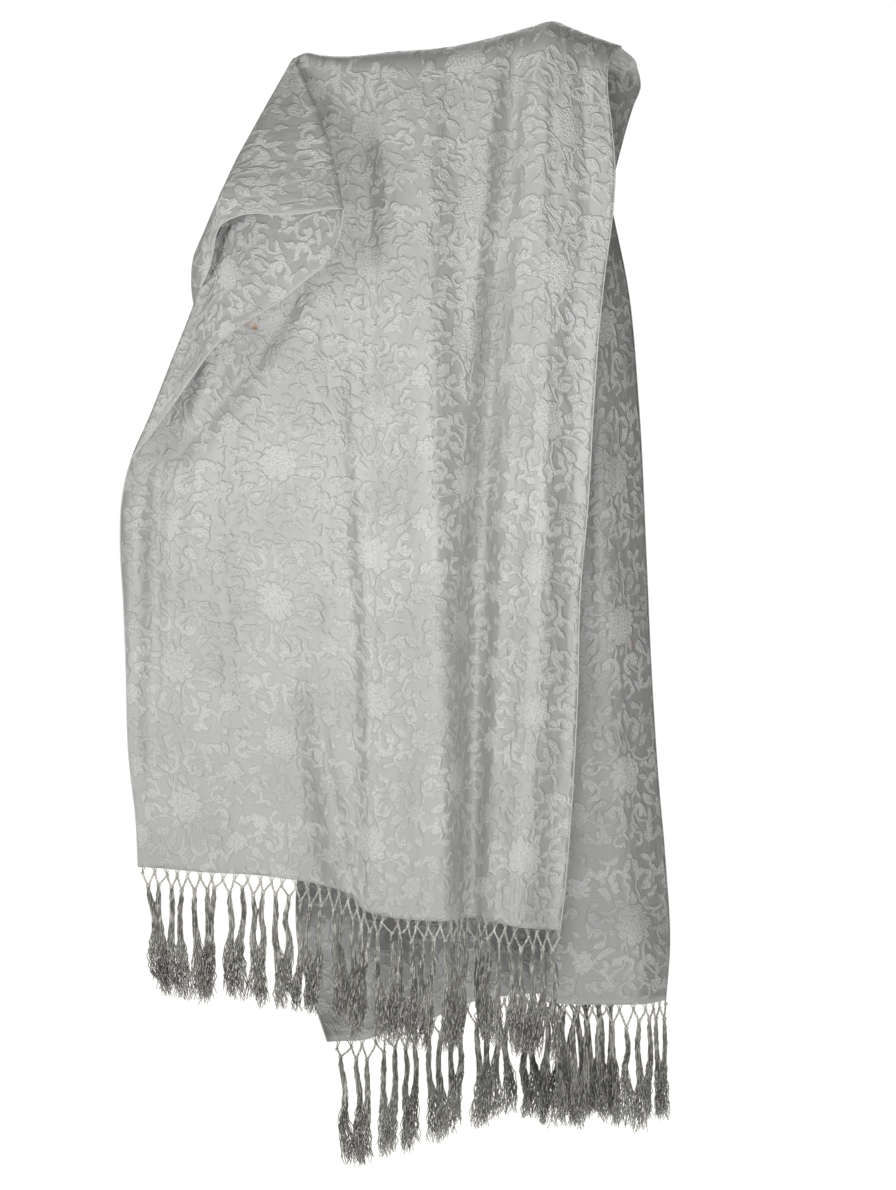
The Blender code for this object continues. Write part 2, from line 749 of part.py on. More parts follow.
def main():
    for thing in list(bpy.data.objects):
        bpy.data.objects.remove(thing, do_unlink=True)
    satin = material("shawl_satin", CLOTH_COLOUR, CLOTH_ROUGHNESS)
    reverse = material("shawl_reverse", CLOTH_BACK_COLOUR, CLOTH_ROUGHNESS)
    yarn = material("fringe_yarn", FRINGE_COLOUR, FRINGE_ROUGHNESS)

    curl_extra = [-1 + k / CURL_COLUMNS for k in range(CURL_COLUMNS + 1)]
    front_rows = fall_rows(FRONT_HEM, FRONT_TURN_END, FRONT_LOWER_ROWS)
    front_columns, front_knots = even_columns(front_row, front_rows[-1], TASSELS_PER_END, curl_extra)
    front = np.array([front_row(front_columns, *row) for row in front_rows])
    cloth_wall("front_fall", inset_ends(front, first=True, left=True), satin)
    fringe("front_fringe", front_row(front_knots, *front_rows[-1]), yarn)

    back_rows = fall_rows(BACK_HEM, BACK_TURN_END, BACK_LOWER_ROWS)
    foot = BACK_HEM[-1].drop
    turn_at, turn_width = pleat_turn(BACK_RIGHT[-1].x - BACK_LEFT[-1].x, foot)
    pleat_extra = [
        mix(PLEAT_START_SHARE, PLEAT_END_SHARE, at + turn_width * k)
        for at in (turn_at, 1 - turn_at)
        for k in PLEAT_TURN_COLUMNS
    ]
    back_columns, back_knots = even_columns(
        back_row, back_rows[-1], TASSELS_PER_END, curl_extra + pleat_extra
    )
    back = np.array([back_row(back_columns, *row) for row in back_rows])
    cloth_wall("back_fall", inset_ends(back, first=True, left=True)[:, ::-1], satin)
    fringe("back_fringe", back_row(back_knots, *back_rows[-1]), yarn)

    reach = np.array(CORNER_REACH)
    corner = turned_corner_ray(reach[:, None], corner_columns(reach, TURN_SHARE, TURN_SHARE))
    over = over_corner_ray(reach[:, None], corner_columns(reach, TURN_SHARE, SIDE_SHARE))
    cloth_wall("turned_corner", inset_ends(corner, left=True, right=True), reverse)
    cloth_wall("over_corner", inset_ends(over, left=True, right=True), satin)


main()
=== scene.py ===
# Jacquard shawl with a knotted fringe at each end, hanging in two falls.
# Tables are in millimetres: x to the viewer's right, drop below the mount, out towards the viewer.
import math
from collections import namedtuple
from functools import reduce

import bmesh
import bpy
import numpy as np
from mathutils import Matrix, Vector


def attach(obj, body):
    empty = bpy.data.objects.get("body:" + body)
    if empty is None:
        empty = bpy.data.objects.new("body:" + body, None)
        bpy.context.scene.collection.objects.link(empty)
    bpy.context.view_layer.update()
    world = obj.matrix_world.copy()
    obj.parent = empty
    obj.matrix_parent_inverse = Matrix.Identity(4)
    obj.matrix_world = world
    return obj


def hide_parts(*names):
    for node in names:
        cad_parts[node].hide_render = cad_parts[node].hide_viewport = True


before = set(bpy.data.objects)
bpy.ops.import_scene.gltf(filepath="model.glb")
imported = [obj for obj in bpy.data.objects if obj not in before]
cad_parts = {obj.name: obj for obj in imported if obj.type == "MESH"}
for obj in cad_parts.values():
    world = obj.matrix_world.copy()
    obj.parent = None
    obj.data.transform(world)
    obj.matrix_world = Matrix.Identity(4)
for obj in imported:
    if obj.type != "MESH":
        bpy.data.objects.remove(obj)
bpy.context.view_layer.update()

# Camera
# It stands level with the middle of the picture, in front of the shawl, and the lens gives the
# picture's width at the front fall.
MM = 0.001
IMAGE_WIDTH = 896
MM_PER_PIXEL = 1.1
CAMERA_X = 19.8
CAMERA_DROP = 606.1
CAMERA_DISTANCE = 4000
FRONT_FALL_OUT = 45
SENSOR_WIDTH = 36

bpy.ops.object.select_all(action="DESELECT")
bpy.ops.object.camera_add(
    location=(CAMERA_X * MM, -(CAMERA_DISTANCE + FRONT_FALL_OUT) * MM, -CAMERA_DROP * MM),
    rotation=(math.radians(90), 0, 0),
)
camera = bpy.context.object
camera.data.sensor_fit = "HORIZONTAL"
camera.data.sensor_width = SENSOR_WIDTH
camera.data.lens = SENSOR_WIDTH * CAMERA_DISTANCE / (IMAGE_WIDTH * MM_PER_PIXEL)
bpy.context.scene.camera = camera
bpy.context.scene.view_settings.view_transform = "Standard"

# Floor and light
# A plain pale floor lies below the shawl, against white. One soft light stands in front, one at
# the left and weak ones above, below and behind, and the air is brighter at the left.
FLOOR_DROP = 1700
FLOOR_SIDE = 4.0
FLOOR_ROUGHNESS = 0.9
FLOOR_GRAIN = 3
PALE = (0.86, 0.86, 0.86, 1)
PALE_SHADE = (0.8428, 0.8428, 0.8428, 1)
AMBIENT_LEFT = 0.26
AMBIENT_RIGHT = 0.08
BACKGROUND_STRENGTH = 1.06
AMBIENT_COLOUR = (1, 0.985, 0.95, 1)


def table(columns, *rows):
    """Rows whose values go by the names of the columns."""
    Row = namedtuple("Row", columns)
    return [Row(*row) for row in rows]


class Value:
    """A socket of a material's nodes. Maths on it adds Math nodes, and node() adds any other."""

    def __init__(self, tree, socket=None):
        self.tree = tree
        self.socket = socket

    def node(self, kind, settings=(), inputs=(), output=0):
        """A new node's output: its settings are made first, then its sockets' values or links."""
        made = self.tree.nodes.new("ShaderNode" + kind)
        for setting, value in dict(settings).items():
            setattr(made, setting, value)
        for name, value in dict(inputs).items():
            if isinstance(value, Value):
                self.tree.links.new(made.inputs[name], value.socket)
            else:
                made.inputs[name].default_value = value
        return Value(self.tree, made.outputs[output])

    def math(self, operation, *values):
        """A Math node on the values that are given, of which this may be one."""
        return self.node("Math", {"operation": operation}, dict(enumerate(values)))

    def __add__(self, other):
        return self.math("ADD", self, other)

    __radd__ = __add__

    def __sub__(self, other):
        return self.math("SUBTRACT", self, other)

    def __rsub__(self, other):
        return self.math("SUBTRACT", other, self)

    def __mul__(self, other):
        return self.math("MULTIPLY", self, other)

    __rmul__ = __mul__

    def __truediv__(self, other):
        return self.math("DIVIDE", self, other)

    def __rtruediv__(self, other):
        return self.math("DIVIDE", other, self)

    def __abs__(self):
        return self.math("ABSOLUTE", self)

    def floor(self):
        return self.math("FLOOR", self)

    def min(self, other):
        return self.math("MINIMUM", self, other)

    def max(self, other):
        return self.math("MAXIMUM", self, other)

    def step(self, low, high):
        """0 below low and 1 above high, smoothly between them."""
        return self.node(
            "MapRange",
            {"interpolation_type": "SMOOTHSTEP"},
            {"Value": self, "From Min": low, "From Max": high},
        )

    def noise(self, scale, detail, output="Fac"):
        settings = {"Vector": self, "Scale": scale, "Detail": detail}
        return self.node("TexNoise", {}, settings, output)

    def vector(self, operation, inputs):
        """This place or colour, changed by a Vector Math node with these inputs."""
        return self.node("VectorMath", {"operation": operation}, {0: self, **inputs})

    def blend(self, low, high):
        """A colour between two colours, by this value from 0 to 1."""
        return self.node("Mix", {"data_type": "RGBA"}, {0: self, 6: low, 7: high}, output=2)


def finish_of(name, roughness):
    """A new material, its shader node and a place to start its values from."""
    material = bpy.data.materials.new(name)
    material.use_nodes = True
    shader = material.node_tree.nodes["Principled BSDF"]
    shader.inputs["Roughness"].default_value = roughness
    return material, shader, Value(material.node_tree)


def link(shader, name, value):
    value.tree.links.new(shader.inputs[name], value.socket)


bpy.ops.object.select_all(action="DESELECT")
bpy.ops.mesh.primitive_plane_add(size=1, location=(0, 0, -FLOOR_DROP * MM))
floor = bpy.context.object
floor.name = "floor"
floor.scale = (FLOOR_SIDE, FLOOR_SIDE, 1)
bpy.ops.object.transform_apply(location=True, rotation=False, scale=True)
pale, shader, start = finish_of("pale_floor", FLOOR_ROUGHNESS)
grain = start.node("TexCoord", output="Object").noise(FLOOR_GRAIN, 2)
link(shader, "Base Color", grain.blend(PALE, PALE_SHADE))
floor.data.materials.append(pale)

world = bpy.data.worlds.new("studio")
bpy.context.scene.world = world
world.use_nodes = True
sky = world.node_tree.nodes["Background"]
sky.inputs["Color"].default_value = AMBIENT_COLOUR
start = Value(world.node_tree)
seen = start.node("LightPath", output="Is Camera Ray")
left_to_right = start.node("SeparateXYZ", {}, {0: start.node("TexCoord", output="Generated")})
ambient = AMBIENT_LEFT + left_to_right.step(-1, 1) * (AMBIENT_RIGHT - AMBIENT_LEFT)
link(sky, "Strength", ambient + seen * (BACKGROUND_STRENGTH - ambient))

LAMPS = table(
    "name x out drop size power aim_x aim_drop aim_out",
    ("key_light", 120, 1000, 450, 350, 6.3, 40, 450, 0),
    ("side_light", -1250, 900, 400, 500, 7.6, -60, 400, 0),
    ("floor_light", 0, 0, 1330, 3600, 45, 0, 1700, 0),
    ("back_light", 100, -1700, -900, 1300, 30, 0, 500, 0),
    ("top_light", 20, 500, -1100, 700, 1.6, 30, 20, 20),
)
for lamp in LAMPS:
    place = Vector((lamp.x, -lamp.out, -lamp.drop)) * MM
    aim = Vector((lamp.aim_x, -lamp.aim_out, -lamp.aim_drop)) * MM
    bpy.ops.object.light_add(type="AREA", location=place)
    light = bpy.context.object
    light.name = lamp.name
    light.data.size = lamp.size * MM
    light.data.energy = lamp.power
    light.rotation_euler = (place - aim).to_track_quat("Z", "Y").to_euler()

# Cloth of the shawl
# One woven panel, 0.57 m wide and 2 m long, hangs in a front and a back fall. Its left end has no
# support, so a corner of it is turned over in front, with the cloth's reverse showing.
PANEL_WIDTH = 0.57
CLOTH_THICKNESS = 0.9
ROLL_HEIGHT_SHARE = 0.8
HANG_DEPTH_LEFT = 32
HANG_DEPTH_RIGHT = 45
HANG_SETTLE_DROP = 260
SIDE_TURN_FALL = 16
FRONT_EDGE_FLAT = 30
BACK_EDGE_FLAT = 40
BACK_RIGHT_FLAT_SHARE = 0.3

# How far a fall's left edge is turned, in degrees: in the corner, and over how much drop below it
# the turn opens to its last angle
FRONT_CURL = (90, 20, 320)
BACK_CURL = (90, 25, 150)
BACK_CURL_REACH_SHARE = 0.45

# Line that the shawl is folded over, from the left corner to the right selvedge
CREST = table(
    "x drop",
    (-152, 9), (-143, 4.5), (-120, 6.5), (-99, 7.5), (-38, 2.2), (16, -2.2), (77, -15.4),
    (109, -24.4), (137, -31), (155, -24.4), (178, -15.4), (212, -4),
)

# Depth of the fold over the support, by share of the way along the crest
ROLL = table(
    "share depth",
    (0, 7), (0.08, 15), (0.25, 28), (0.5, 40), (0.8, 45), (1, 42),
)

# Left edge of the front fall: a turned fold down to the corner's end, then the selvedge
FRONT_LEFT = table(
    "drop x",
    (10, -152), (150, -208), (202, -232), (245, -248), (286, -260), (348, -284), (414, -310),
    (458, -329), (502, -339), (546, -341), (612, -338), (678, -335.5), (788, -332), (854, -324.5),
    (906, -322),
)

# Right selvedge of the front fall
FRONT_RIGHT = table(
    "drop x",
    (-4, 212), (4, 203.5), (15, 198), (30, 195.5), (89, 200), (131, 203.5), (187, 201),
    (252, 192.5), (315, 186), (392, 180.5), (518, 173), (594, 166), (728, 162), (864, 154),
    (935, 148), (976, 143),
)

# Left edge of the back fall: the outer turned fold, then the selvedge behind the front fall
BACK_LEFT = table(
    "drop x",
    (10, -152), (78, -188.7), (123, -212), (167, -235), (212, -254), (234, -263), (256, -265),
    (286, -262), (330, -244), (443, -203), (612, -164), (837, -147), (1035, -142), (1072, -129),
    (1110, -116),
)

# Right selvedge of the back fall
BACK_RIGHT = table(
    "drop x",
    (-4, 212), (0, 224), (12, 234), (28, 238), (50, 230), (94, 217), (140, 206.5), (162, 204.5),
    (179, 208), (252, 223), (387, 236), (567, 245), (680, 250), (809, 258), (915, 267),
    (1005, 271.5), (1066, 267),
)

# Hems, by share of the way across from the left edge to the right edge
FRONT_HEM = table(
    "share drop",
    (0, 906.4), (0.15, 911.4), (0.32, 917.4), (0.42, 925), (0.49, 938), (0.53, 954), (0.59, 961),
    (0.67, 963), (0.82, 964.7), (0.91, 971), (1, 975.6),
)
BACK_HEM = table(
    "share drop",
    (0, 1110), (0.09, 1107), (0.15, 1100), (0.3, 1086), (0.45, 1063), (0.62, 1056), (0.74, 1048),
    (0.77, 1051), (0.82, 1062), (0.88, 1066), (1, 1066),
)

# Soft folds of each fall: where each runs, how far it rises (or sinks) and how wide its flanks are
FRONT_FOLDS = table(
    "x_top x_middle x_hem rise_top rise_middle rise_hem left_flank right_flank",
    (-240, -306, -306, 0, -14, -4, 16, 26),
    (-200, -250, -255, 0, 12, 8, 34, 60),
    (-130, -143, -150, 0, 9, 7, 45, 45),
    (-110, -150, -86, 0, -4, -15, 40, 16),
    (-64, -67, -62, -3, -8, -7, 20, 20),
    (-18, 2, 12, 3, 24, 22, 60, 46),
    (100, 57, 42, -5, -22, -24, 24, 30),
    (128, 124, 96, 4, 16, 17, 34, 40),
)
BACK_FOLDS = table(
    "x_top x_middle x_hem rise_top rise_middle rise_hem left_flank right_flank",
    (-90, -110, -70, 3, 14, 10, 50, 50),
    (-20, -30, -5, -3, -10, -12, 45, 45),
    (50, 40, 60, 3, 16, 14, 50, 50),
    (110, 100, 120, -3, -10, -10, 40, 40),
)

# Creases of the loose cloth between the folds: a line from one end to the other, how far it
# stands out at its middle (or sinks), how wide it is, and how it bows to the right
CREASE_ROUNDING = 0.8
CREASE_TOP_WIDTH_SHARE = 0.6
FRONT_CREASES = table(
    "x drop x_end drop_end rise width bow",
    (-60, 10, -88, 170, -3.0, 11, 3),
    (-52, 12, -62, 240, 2.6, 12, 4),
    (-88, 26, -128, 200, 2.2, 14, -6),
    (-20, 8, -38, 150, -2.0, 10, 2),
    (4, 6, -6, 210, 2.4, 13, 5),
    (38, 2, 30, 190, -2.2, 12, 4),
    (66, -4, 52, 260, 2.2, 11, 6),
    (92, -10, 76, 280, -3.6, 10, 5),
    (112, -14, 100, 360, 3.4, 11, -4),
    (134, -18, 130, 330, -3.4, 9, 3),
    (150, -14, 160, 260, 2.2, 10, 4),
    (170, -6, 180, 240, -1.8, 9, -3),
    (-88, 172, -64, 760, -5.6, 9, -7),
    (-118, 330, -112, 640, 2.2, 22, 8),
    (-150, 300, -186, 560, -2.0, 26, 6),
    (-205, 372, -268, 620, 1.8, 24, -8),
    (-46, 470, -20, 880, 2.0, 18, 5),
    (-20, 600, -30, 860, -1.6, 16, 4),
    (14, 420, 26, 700, 1.8, 16, -6),
    (80, 227, 54, 942, -13.5, 21, 2),
    (-18, 290, 4, 760, 3.6, 22, 0),
    (112, 230, 122, 780, 4.2, 22, 6),
    (-300, 430, -306, 720, -5.0, 15, -3),
    (-138, 268, -294, 470, -13.0, 22, 4),
    (140, 330, 132, 650, -1.8, 13, 4),
    (156, 520, 140, 900, 1.5, 13, -4),
    (-280, 560, -262, 850, -1.8, 22, 6),
    (-225, 600, -206, 860, 1.5, 24, -6),
    (-180, 650, -160, 880, -1.6, 20, 5),
)
BACK_CREASES = table(
    "x drop x_end drop_end rise width bow",
    (-110, 30, -128, 330, 2.6, 18, 6),
    (-70, 20, -80, 420, -2.6, 16, -6),
    (-36, 20, -44, 560, 2.2, 20, 8),
    (10, 10, -4, 480, -2.4, 18, -6),
    (60, 10, 44, 420, 2.6, 16, 6),
    (98, 4, 86, 520, -2.2, 18, 8),
    (140, 0, 150, 380, 2.2, 14, -5),
    (180, 20, 196, 420, -1.8, 14, 5),
    (-100, 480, -84, 960, 2.4, 22, -8),
    (-40, 620, -20, 1020, -2.2, 20, 6),
    (36, 560, 50, 1000, 2.0, 20, -6),
    (110, 620, 130, 1010, -1.8, 18, 6),
    (216, 260, 232, 700, 1.6, 13, 4),
    (228, 640, 240, 1010, -1.6, 12, -4),
    (184, 150, 210, 1050, 6.0, 15, -4),
)

# Deep pleat in the back fall, where the cloth doubles back behind its right-hand side:
# how far it reaches to each side, and how deep it stands
PLEAT_START_SHARE = 0.55
PLEAT_END_SHARE = 0.95
PLEAT_TURN_WIDTH = 0.16
PLEAT_OPEN_WIDTH = 0.5
PLEAT_CLOSED_REACH = 50
PLEAT = table(
    "drop reach depth",
    (0, 0, 0), (200, 13, 16), (450, 36, 26), (750, 60, 28), (1070, 76, 28),
)

# Right-hand side of the back fall, which turns away from the viewer past this line
SIDE_TURN = table(
    "drop x",
    (-10, 196), (60, 196), (180, 192), (580, 204), (760, 211), (900, 222), (1066, 236),
)
SIDE_TURN_DEPTH = 41
SIDE_TURN_BEND = 1.3
SIDE_TURN_START_SHARE = 0.7

# Creases of the two corner layers: how far across each runs, its rise, its width as a share of the
# way across, and the half waves that it rises through on the way from the apex to the rim
TURNED_FANS = table(
    "across rise width end",
    (0.26, 2.4, 0.07, 0.9),
    (0.45, -2.6, 0.09, 1.0),
    (0.68, 2.0, 0.07, 0.8),
)
OVER_FANS = table(
    "across rise width end",
    (0.2, -2.0, 0.06, 0.8),
    (0.36, 2.6, 0.07, 1.0),
    (0.52, -2.4, 0.06, 0.9),
    (0.66, 2.0, 0.05, 0.7),
)

# Turned corner: its selvedge runs up across the front fall, then back to the left over the fold
CORNER_DEPTH_TOP = 10
FRONT_TURN_END = 458
BACK_TURN_END = 286
APEX_ROUNDING_SHARE = 0.06
TURN_RADIUS = 13
CORNER_FOLD_RADIUS = 8
CORNER_LIFT = 17
CORNER_LIFT_POWER = 1.5
CORNER_BOW = 8
CORNER_BOW_POWER = 3
OVER_LAYER_GAP = 9
OVER_LAYER_BELLY = 11
OVER_LAYER_BELLY_SHARE = 0.75
TURN_GROWTH = 0.7
TURN_SHARE = 0.04
SIDE_SHARE = 0.12
WIDEST_TURN_SHARE = 0.3
APEX_WIDENING = 0.4
CORNER_RIM = table(
    "share x drop",
    (0, -329, 458), (0.14, -303, 426), (0.3, -268, 378), (0.5, -226, 326), (0.62, -196, 304),
    (0.73, -162, 283), (0.82, -135, 262), (0.91, -109, 238), (0.96, -98, 213), (1, -94, 186),
)
OVER_RIM = table(
    "share x drop",
    (0, -94, 186), (0.14, -114, 187), (0.27, -135, 191), (0.45, -171, 192), (0.56, -192, 189),
    (0.68, -214, 193), (0.78, -232, 204), (0.88, -241, 245), (1, -262, 286),
)

# Places on the flat panel, in metres from its right selvedge and its front end
PANEL_CREST = np.array((0, 0.99))
PANEL_APEX = np.array((0.364, 0.922))
PANEL_CORNER_END = np.array((PANEL_WIDTH, 0.448))
PANEL_CORNER_FOLD = np.array((PANEL_WIDTH, 0.884))
PANEL_OVER_END = np.array((PANEL_WIDTH, 1.114))
PANEL_BACK_END = 2.03

ROLL_ROWS = 10
CORNER_ROWS = 62
FIRST_REACH = 0.02
FRONT_LOWER_ROWS = 64
BACK_LOWER_ROWS = 98
FLAT_COLUMNS = 128
CURL_COLUMNS = 8
CORNER_FLAT_COLUMNS = 22
MEASURED_COLUMNS = 900
MERGE_DISTANCE = 0.05
APEX_OPENING = 30


def read(rows, key, value, at):
    """A table's value column, read smoothly at a key and held flat past the table's ends."""
    x = np.array([getattr(row, key) for row in rows], float)
    y = np.array([getattr(row, value) for row in rows], float)
    slope = np.gradient(y, x)
    at = np.clip(at, x[0], x[-1])
    i = np.clip(np.searchsorted(x, at, side="right") - 1, 0, len(x) - 2)
    step = x[i + 1] - x[i]
    t = (at - x[i]) / step
    return (
        y[i] * (1 + 2 * t) * (1 - t) ** 2
        + y[i + 1] * t**2 * (3 - 2 * t)
        + slope[i] * step * t * (1 - t) ** 2
        - slope[i + 1] * step * t**2 * (1 - t)
    )


def mix(a, b, t):
    return a + (b - a) * t


def ease(t):
    t = np.clip(t, 0, 1)
    return t * t * (3 - 2 * t)


def arch(t):
    """Height of a quarter round at t from its foot (0, steep) to its top (1, level)."""
    return np.sqrt(np.clip(1 - (1 - np.clip(t, 0, 1)) ** 2, 0, 1))


def crest_drop(share):
    x = mix(CREST[0].x, CREST[-1].x, share)
    return read(CREST, "x", "drop", x)


def roll_depth(share):
    return read(ROLL, "share", "depth", share)


def roll_height(share):
    return ROLL_HEIGHT_SHARE * roll_depth(share)


def hang_depth(share, fall):
    """How far a fall hangs in front of or behind the crest, at a distance below it."""
    settled = mix(HANG_DEPTH_LEFT, HANG_DEPTH_RIGHT, share)
    reached = mix(roll_depth(share), settled, ease(fall / HANG_SETTLE_DROP))
    return reached * arch(fall / roll_height(share))


def corner_share(drop, end):
    """Share of the way down a corner's edge, kept off zero so that the apex stays rounded."""
    share = (drop - CORNER_DEPTH_TOP) / (end - CORNER_DEPTH_TOP)
    return np.clip(share, APEX_ROUNDING_SHARE, 1)


def turn_radius(drop):
    """Radius of the front fall's turned left edge."""
    return TURN_RADIUS * corner_share(drop, FRONT_TURN_END) ** TURN_GROWTH


def fold_radius(drop):
    """Radius of the fold between the turned corner and the cloth that lies over it."""
    return CORNER_FOLD_RADIUS * corner_share(drop, BACK_TURN_END) ** TURN_GROWTH


def over_out(drop):
    """Depth of the over layer where it starts round the left side."""
    gap = OVER_LAYER_GAP * corner_share(drop, BACK_TURN_END) ** TURN_GROWTH
    return hang_depth(0, drop - CREST[0].drop) + 2 * turn_radius(drop) + gap


def side_rise(drop):
    """How far the back fall's left edge comes forward to meet the over layer."""
    end = np.minimum(drop, BACK_TURN_END)
    behind = hang_depth(0, end - CREST[0].drop) + read(PLEAT, "drop", "depth", end)
    return (over_out(end) + behind) / 2


def bowed(first, middle, last, t):
    """A value that goes from the first to the last by way of the middle one."""
    return mix(first, last, t) + 4 * (middle - (first + last) / 2) * t * (1 - t)


def fold_rise(folds, x, down):
    """Rise of all the soft folds at x, at a share of the way down a fall."""
    rise = np.zeros(np.broadcast(x, down).shape)
    for fold in folds:
        centre = bowed(fold.x_top, fold.x_middle, fold.x_hem, down)
        height = bowed(fold.rise_top, fold.rise_middle, fold.rise_hem, down)
        flank = np.where(x < centre, fold.left_flank, fold.right_flank)
        reach = np.clip(np.abs(x - centre) / flank, 0, 1)
        rise = rise + height * (1 + np.cos(math.pi * reach)) / 2
    return rise


def crease_rise(creases, x, drop):
    """Rise of the creases at a place: each is a soft ridge or trough that dies out at its ends."""
    rise = np.zeros(np.broadcast(x, drop).shape)
    for crease in creases:
        down = np.clip((drop - crease.drop) / (crease.drop_end - crease.drop), 0, 1)
        centre = mix(crease.x, crease.x_end, down) + 4 * crease.bow * down * (1 - down)
        height = crease.rise * np.sin(math.pi * down) ** CREASE_ROUNDING
        width = crease.width * mix(CREASE_TOP_WIDTH_SHARE, 1, down)
        rise = rise + height * np.exp(-(((x - centre) / width) ** 2))
    return rise


def fall_rows(hem, corner_end, lower_rows):
    """Rows of a fall as (angle over the roll, share of the straight drop)."""
    top = float(crest_drop(0) + roll_height(0))
    foot = hem[0].drop
    rows = [(math.pi / 2 * i / ROLL_ROWS, 0.0) for i in range(ROLL_ROWS + 1)]
    for reach in np.linspace(FIRST_REACH, 1, CORNER_ROWS + 1):
        drop = mix(CORNER_DEPTH_TOP, corner_end, reach)
        rows.append((math.pi / 2, (drop - top) / (foot - top)))
    upper = rows[-1][1]
    for i in range(1, lower_rows + 1):
        rows.append((math.pi / 2, mix(upper, 1, i / lower_rows)))
    return rows


def row_drop(share, hem, angle, down):
    """Drop of a row's points, at shares of the way across a fall."""
    on_roll = crest_drop(share) + roll_height(share) * (1 - np.cos(angle))
    return mix(on_roll, read(hem, "share", "drop", share), down)


def off_roll(share, drop):
    """How much of a fall's side turn is there: none on the roll, all of it just below."""
    return ease((drop - crest_drop(share) - roll_height(share)) / SIDE_TURN_FALL)


def curl_angle(curl, drop, corner_end):
    """Angle that a fall's left edge is turned through."""
    in_corner, at_hem, fade = curl
    return np.radians(mix(in_corner, at_hem, ease((drop - corner_end) / fade)))


def front_edges(drop):
    """The front fall's left and right edge, and the angle and radius of the turned left one."""
    curl = curl_angle(FRONT_CURL, drop, FRONT_TURN_END)
    radius = turn_radius(drop)
    left = read(FRONT_LEFT, "drop", "x", drop) + radius * np.sin(curl)
    return left, read(FRONT_RIGHT, "drop", "x", drop), curl, radius


def front_out(x, drop):
    """Depth of the front fall's surface at a place seen from the front."""
    left, right = front_edges(drop)[:2]
    share = np.clip((x - left) / (right - left), 0, 1)
    fall = drop - crest_drop(share)
    down = np.clip(fall / (read(FRONT_HEM, "share", "drop", share) - crest_drop(share)), 0, 1)
    depth = hang_depth(share, fall)
    fade = ease((x - left) / FRONT_EDGE_FLAT)
    folds = fold_rise(FRONT_FOLDS, x, down) * fade * arch(fall / roll_height(share))
    return depth + folds + crease_rise(FRONT_CREASES, x, drop) * fade


def front_row(across, angle, down):
    """Points (x, out, drop) of one row of the front fall; across below 0 is on its turned edge."""
    share = np.clip(across, 0, 1)
    turned = np.clip(-across, 0, 1)
    drop = row_drop(share, FRONT_HEM, angle, down)
    left, right, curl, radius = front_edges(drop)
    x = mix(left, right, share)
    hanging = off_roll(share, drop)
    out = front_out(x, drop) + radius * (1 - np.cos(curl * turned)) * hanging
    aside = radius * mix(turned, np.sin(curl * turned), hanging)
    return np.stack([x - aside, out, drop], axis=-1)


def pleat_turn(width, drop):
    """Where the pleat's cloth turns back, and over how much of the pleat it turns."""
    span = width * (PLEAT_END_SHARE - PLEAT_START_SHARE)
    reach = read(PLEAT, "drop", "reach", drop)
    turn_at = np.arccos(-np.clip(span / (2 * math.pi * reach + 1e-6), 0, 1)) / (2 * math.pi)
    return turn_at, mix(PLEAT_OPEN_WIDTH, PLEAT_TURN_WIDTH, ease(reach / PLEAT_CLOSED_REACH))


def back_row(across, angle, down):
    """Points (x, out, drop) of one row of the back fall; across below 0 is on its turned edge."""
    share = np.clip(across, 0, 1)
    turned = np.clip(-across, 0, 1)
    drop = row_drop(share, BACK_HEM, angle, down)
    turn = curl_angle(BACK_CURL, drop, BACK_TURN_END)
    roll = arch((drop - crest_drop(share)) / roll_height(share))
    hanging = off_roll(share, drop)
    rise = side_rise(drop) * hanging
    reach = BACK_CURL_REACH_SHARE * side_rise(drop)
    left = read(BACK_LEFT, "drop", "x", drop) + reach * np.sin(turn)
    right = read(BACK_RIGHT, "drop", "x", drop)
    pleat = np.clip((share - PLEAT_START_SHARE) / (PLEAT_END_SHARE - PLEAT_START_SHARE), 0, 1)
    x = mix(left, right, share)
    x = x + read(PLEAT, "drop", "reach", drop) * np.sin(2 * math.pi * pleat)
    turn_at, turn_width = pleat_turn(right - left, drop)
    first_turn = ease((pleat - turn_at) / turn_width + 0.5)
    second_turn = ease((pleat - 1 + turn_at) / turn_width + 0.5)
    pleat_depth = read(PLEAT, "drop", "depth", drop) * (1 - (first_turn + second_turn) / 2)
    side = read(SIDE_TURN, "drop", "x", drop)
    past = np.clip((x - side) / np.maximum(right - side, 1), 0, 1)
    past = past * ease((pleat - SIDE_TURN_START_SHARE) / (1 - SIDE_TURN_START_SHARE))
    away = SIDE_TURN_DEPTH * past**SIDE_TURN_BEND * roll
    fade = ease((x - left) / BACK_EDGE_FLAT) * roll
    folds = fold_rise(BACK_FOLDS, x, down) * ease((1 - share) / BACK_RIGHT_FLAT_SHARE)
    folds = (folds + crease_rise(BACK_CREASES, x, drop)) * fade
    depth = hang_depth(share, drop - crest_drop(share))
    out = folds - depth - pleat_depth - away + rise * (1 - np.cos(turn * turned))
    aside = reach * mix(turned, np.sin(turn * turned), hanging)
    return np.stack([x - aside, out, drop], axis=-1)


def rim_point(rim, share):
    return read(rim, "share", "x", share), read(rim, "share", "drop", share)


def cone_points(rim, edge, edge_end, reach, across, edge_at):
    """In-plane points of a corner layer: rays from the apex, each a smaller copy of the rim."""
    apex_x, apex_drop = CREST[0].x, CORNER_DEPTH_TOP
    rim_x, rim_drop = rim_point(rim, across)
    x = mix(apex_x, rim_x, reach)
    drop = mix(apex_drop, rim_drop, reach)
    end_x, end_drop = rim_point(rim, edge_at)
    edge_drop = mix(apex_drop, edge_end, reach)
    near_edge = (1 - np.abs(across - edge_at)) ** 2
    x = x + (read(edge, "drop", "x", edge_drop) - mix(apex_x, end_x, reach)) * near_edge
    drop = drop + (edge_drop - mix(apex_drop, end_drop, reach)) * near_edge
    return x, drop


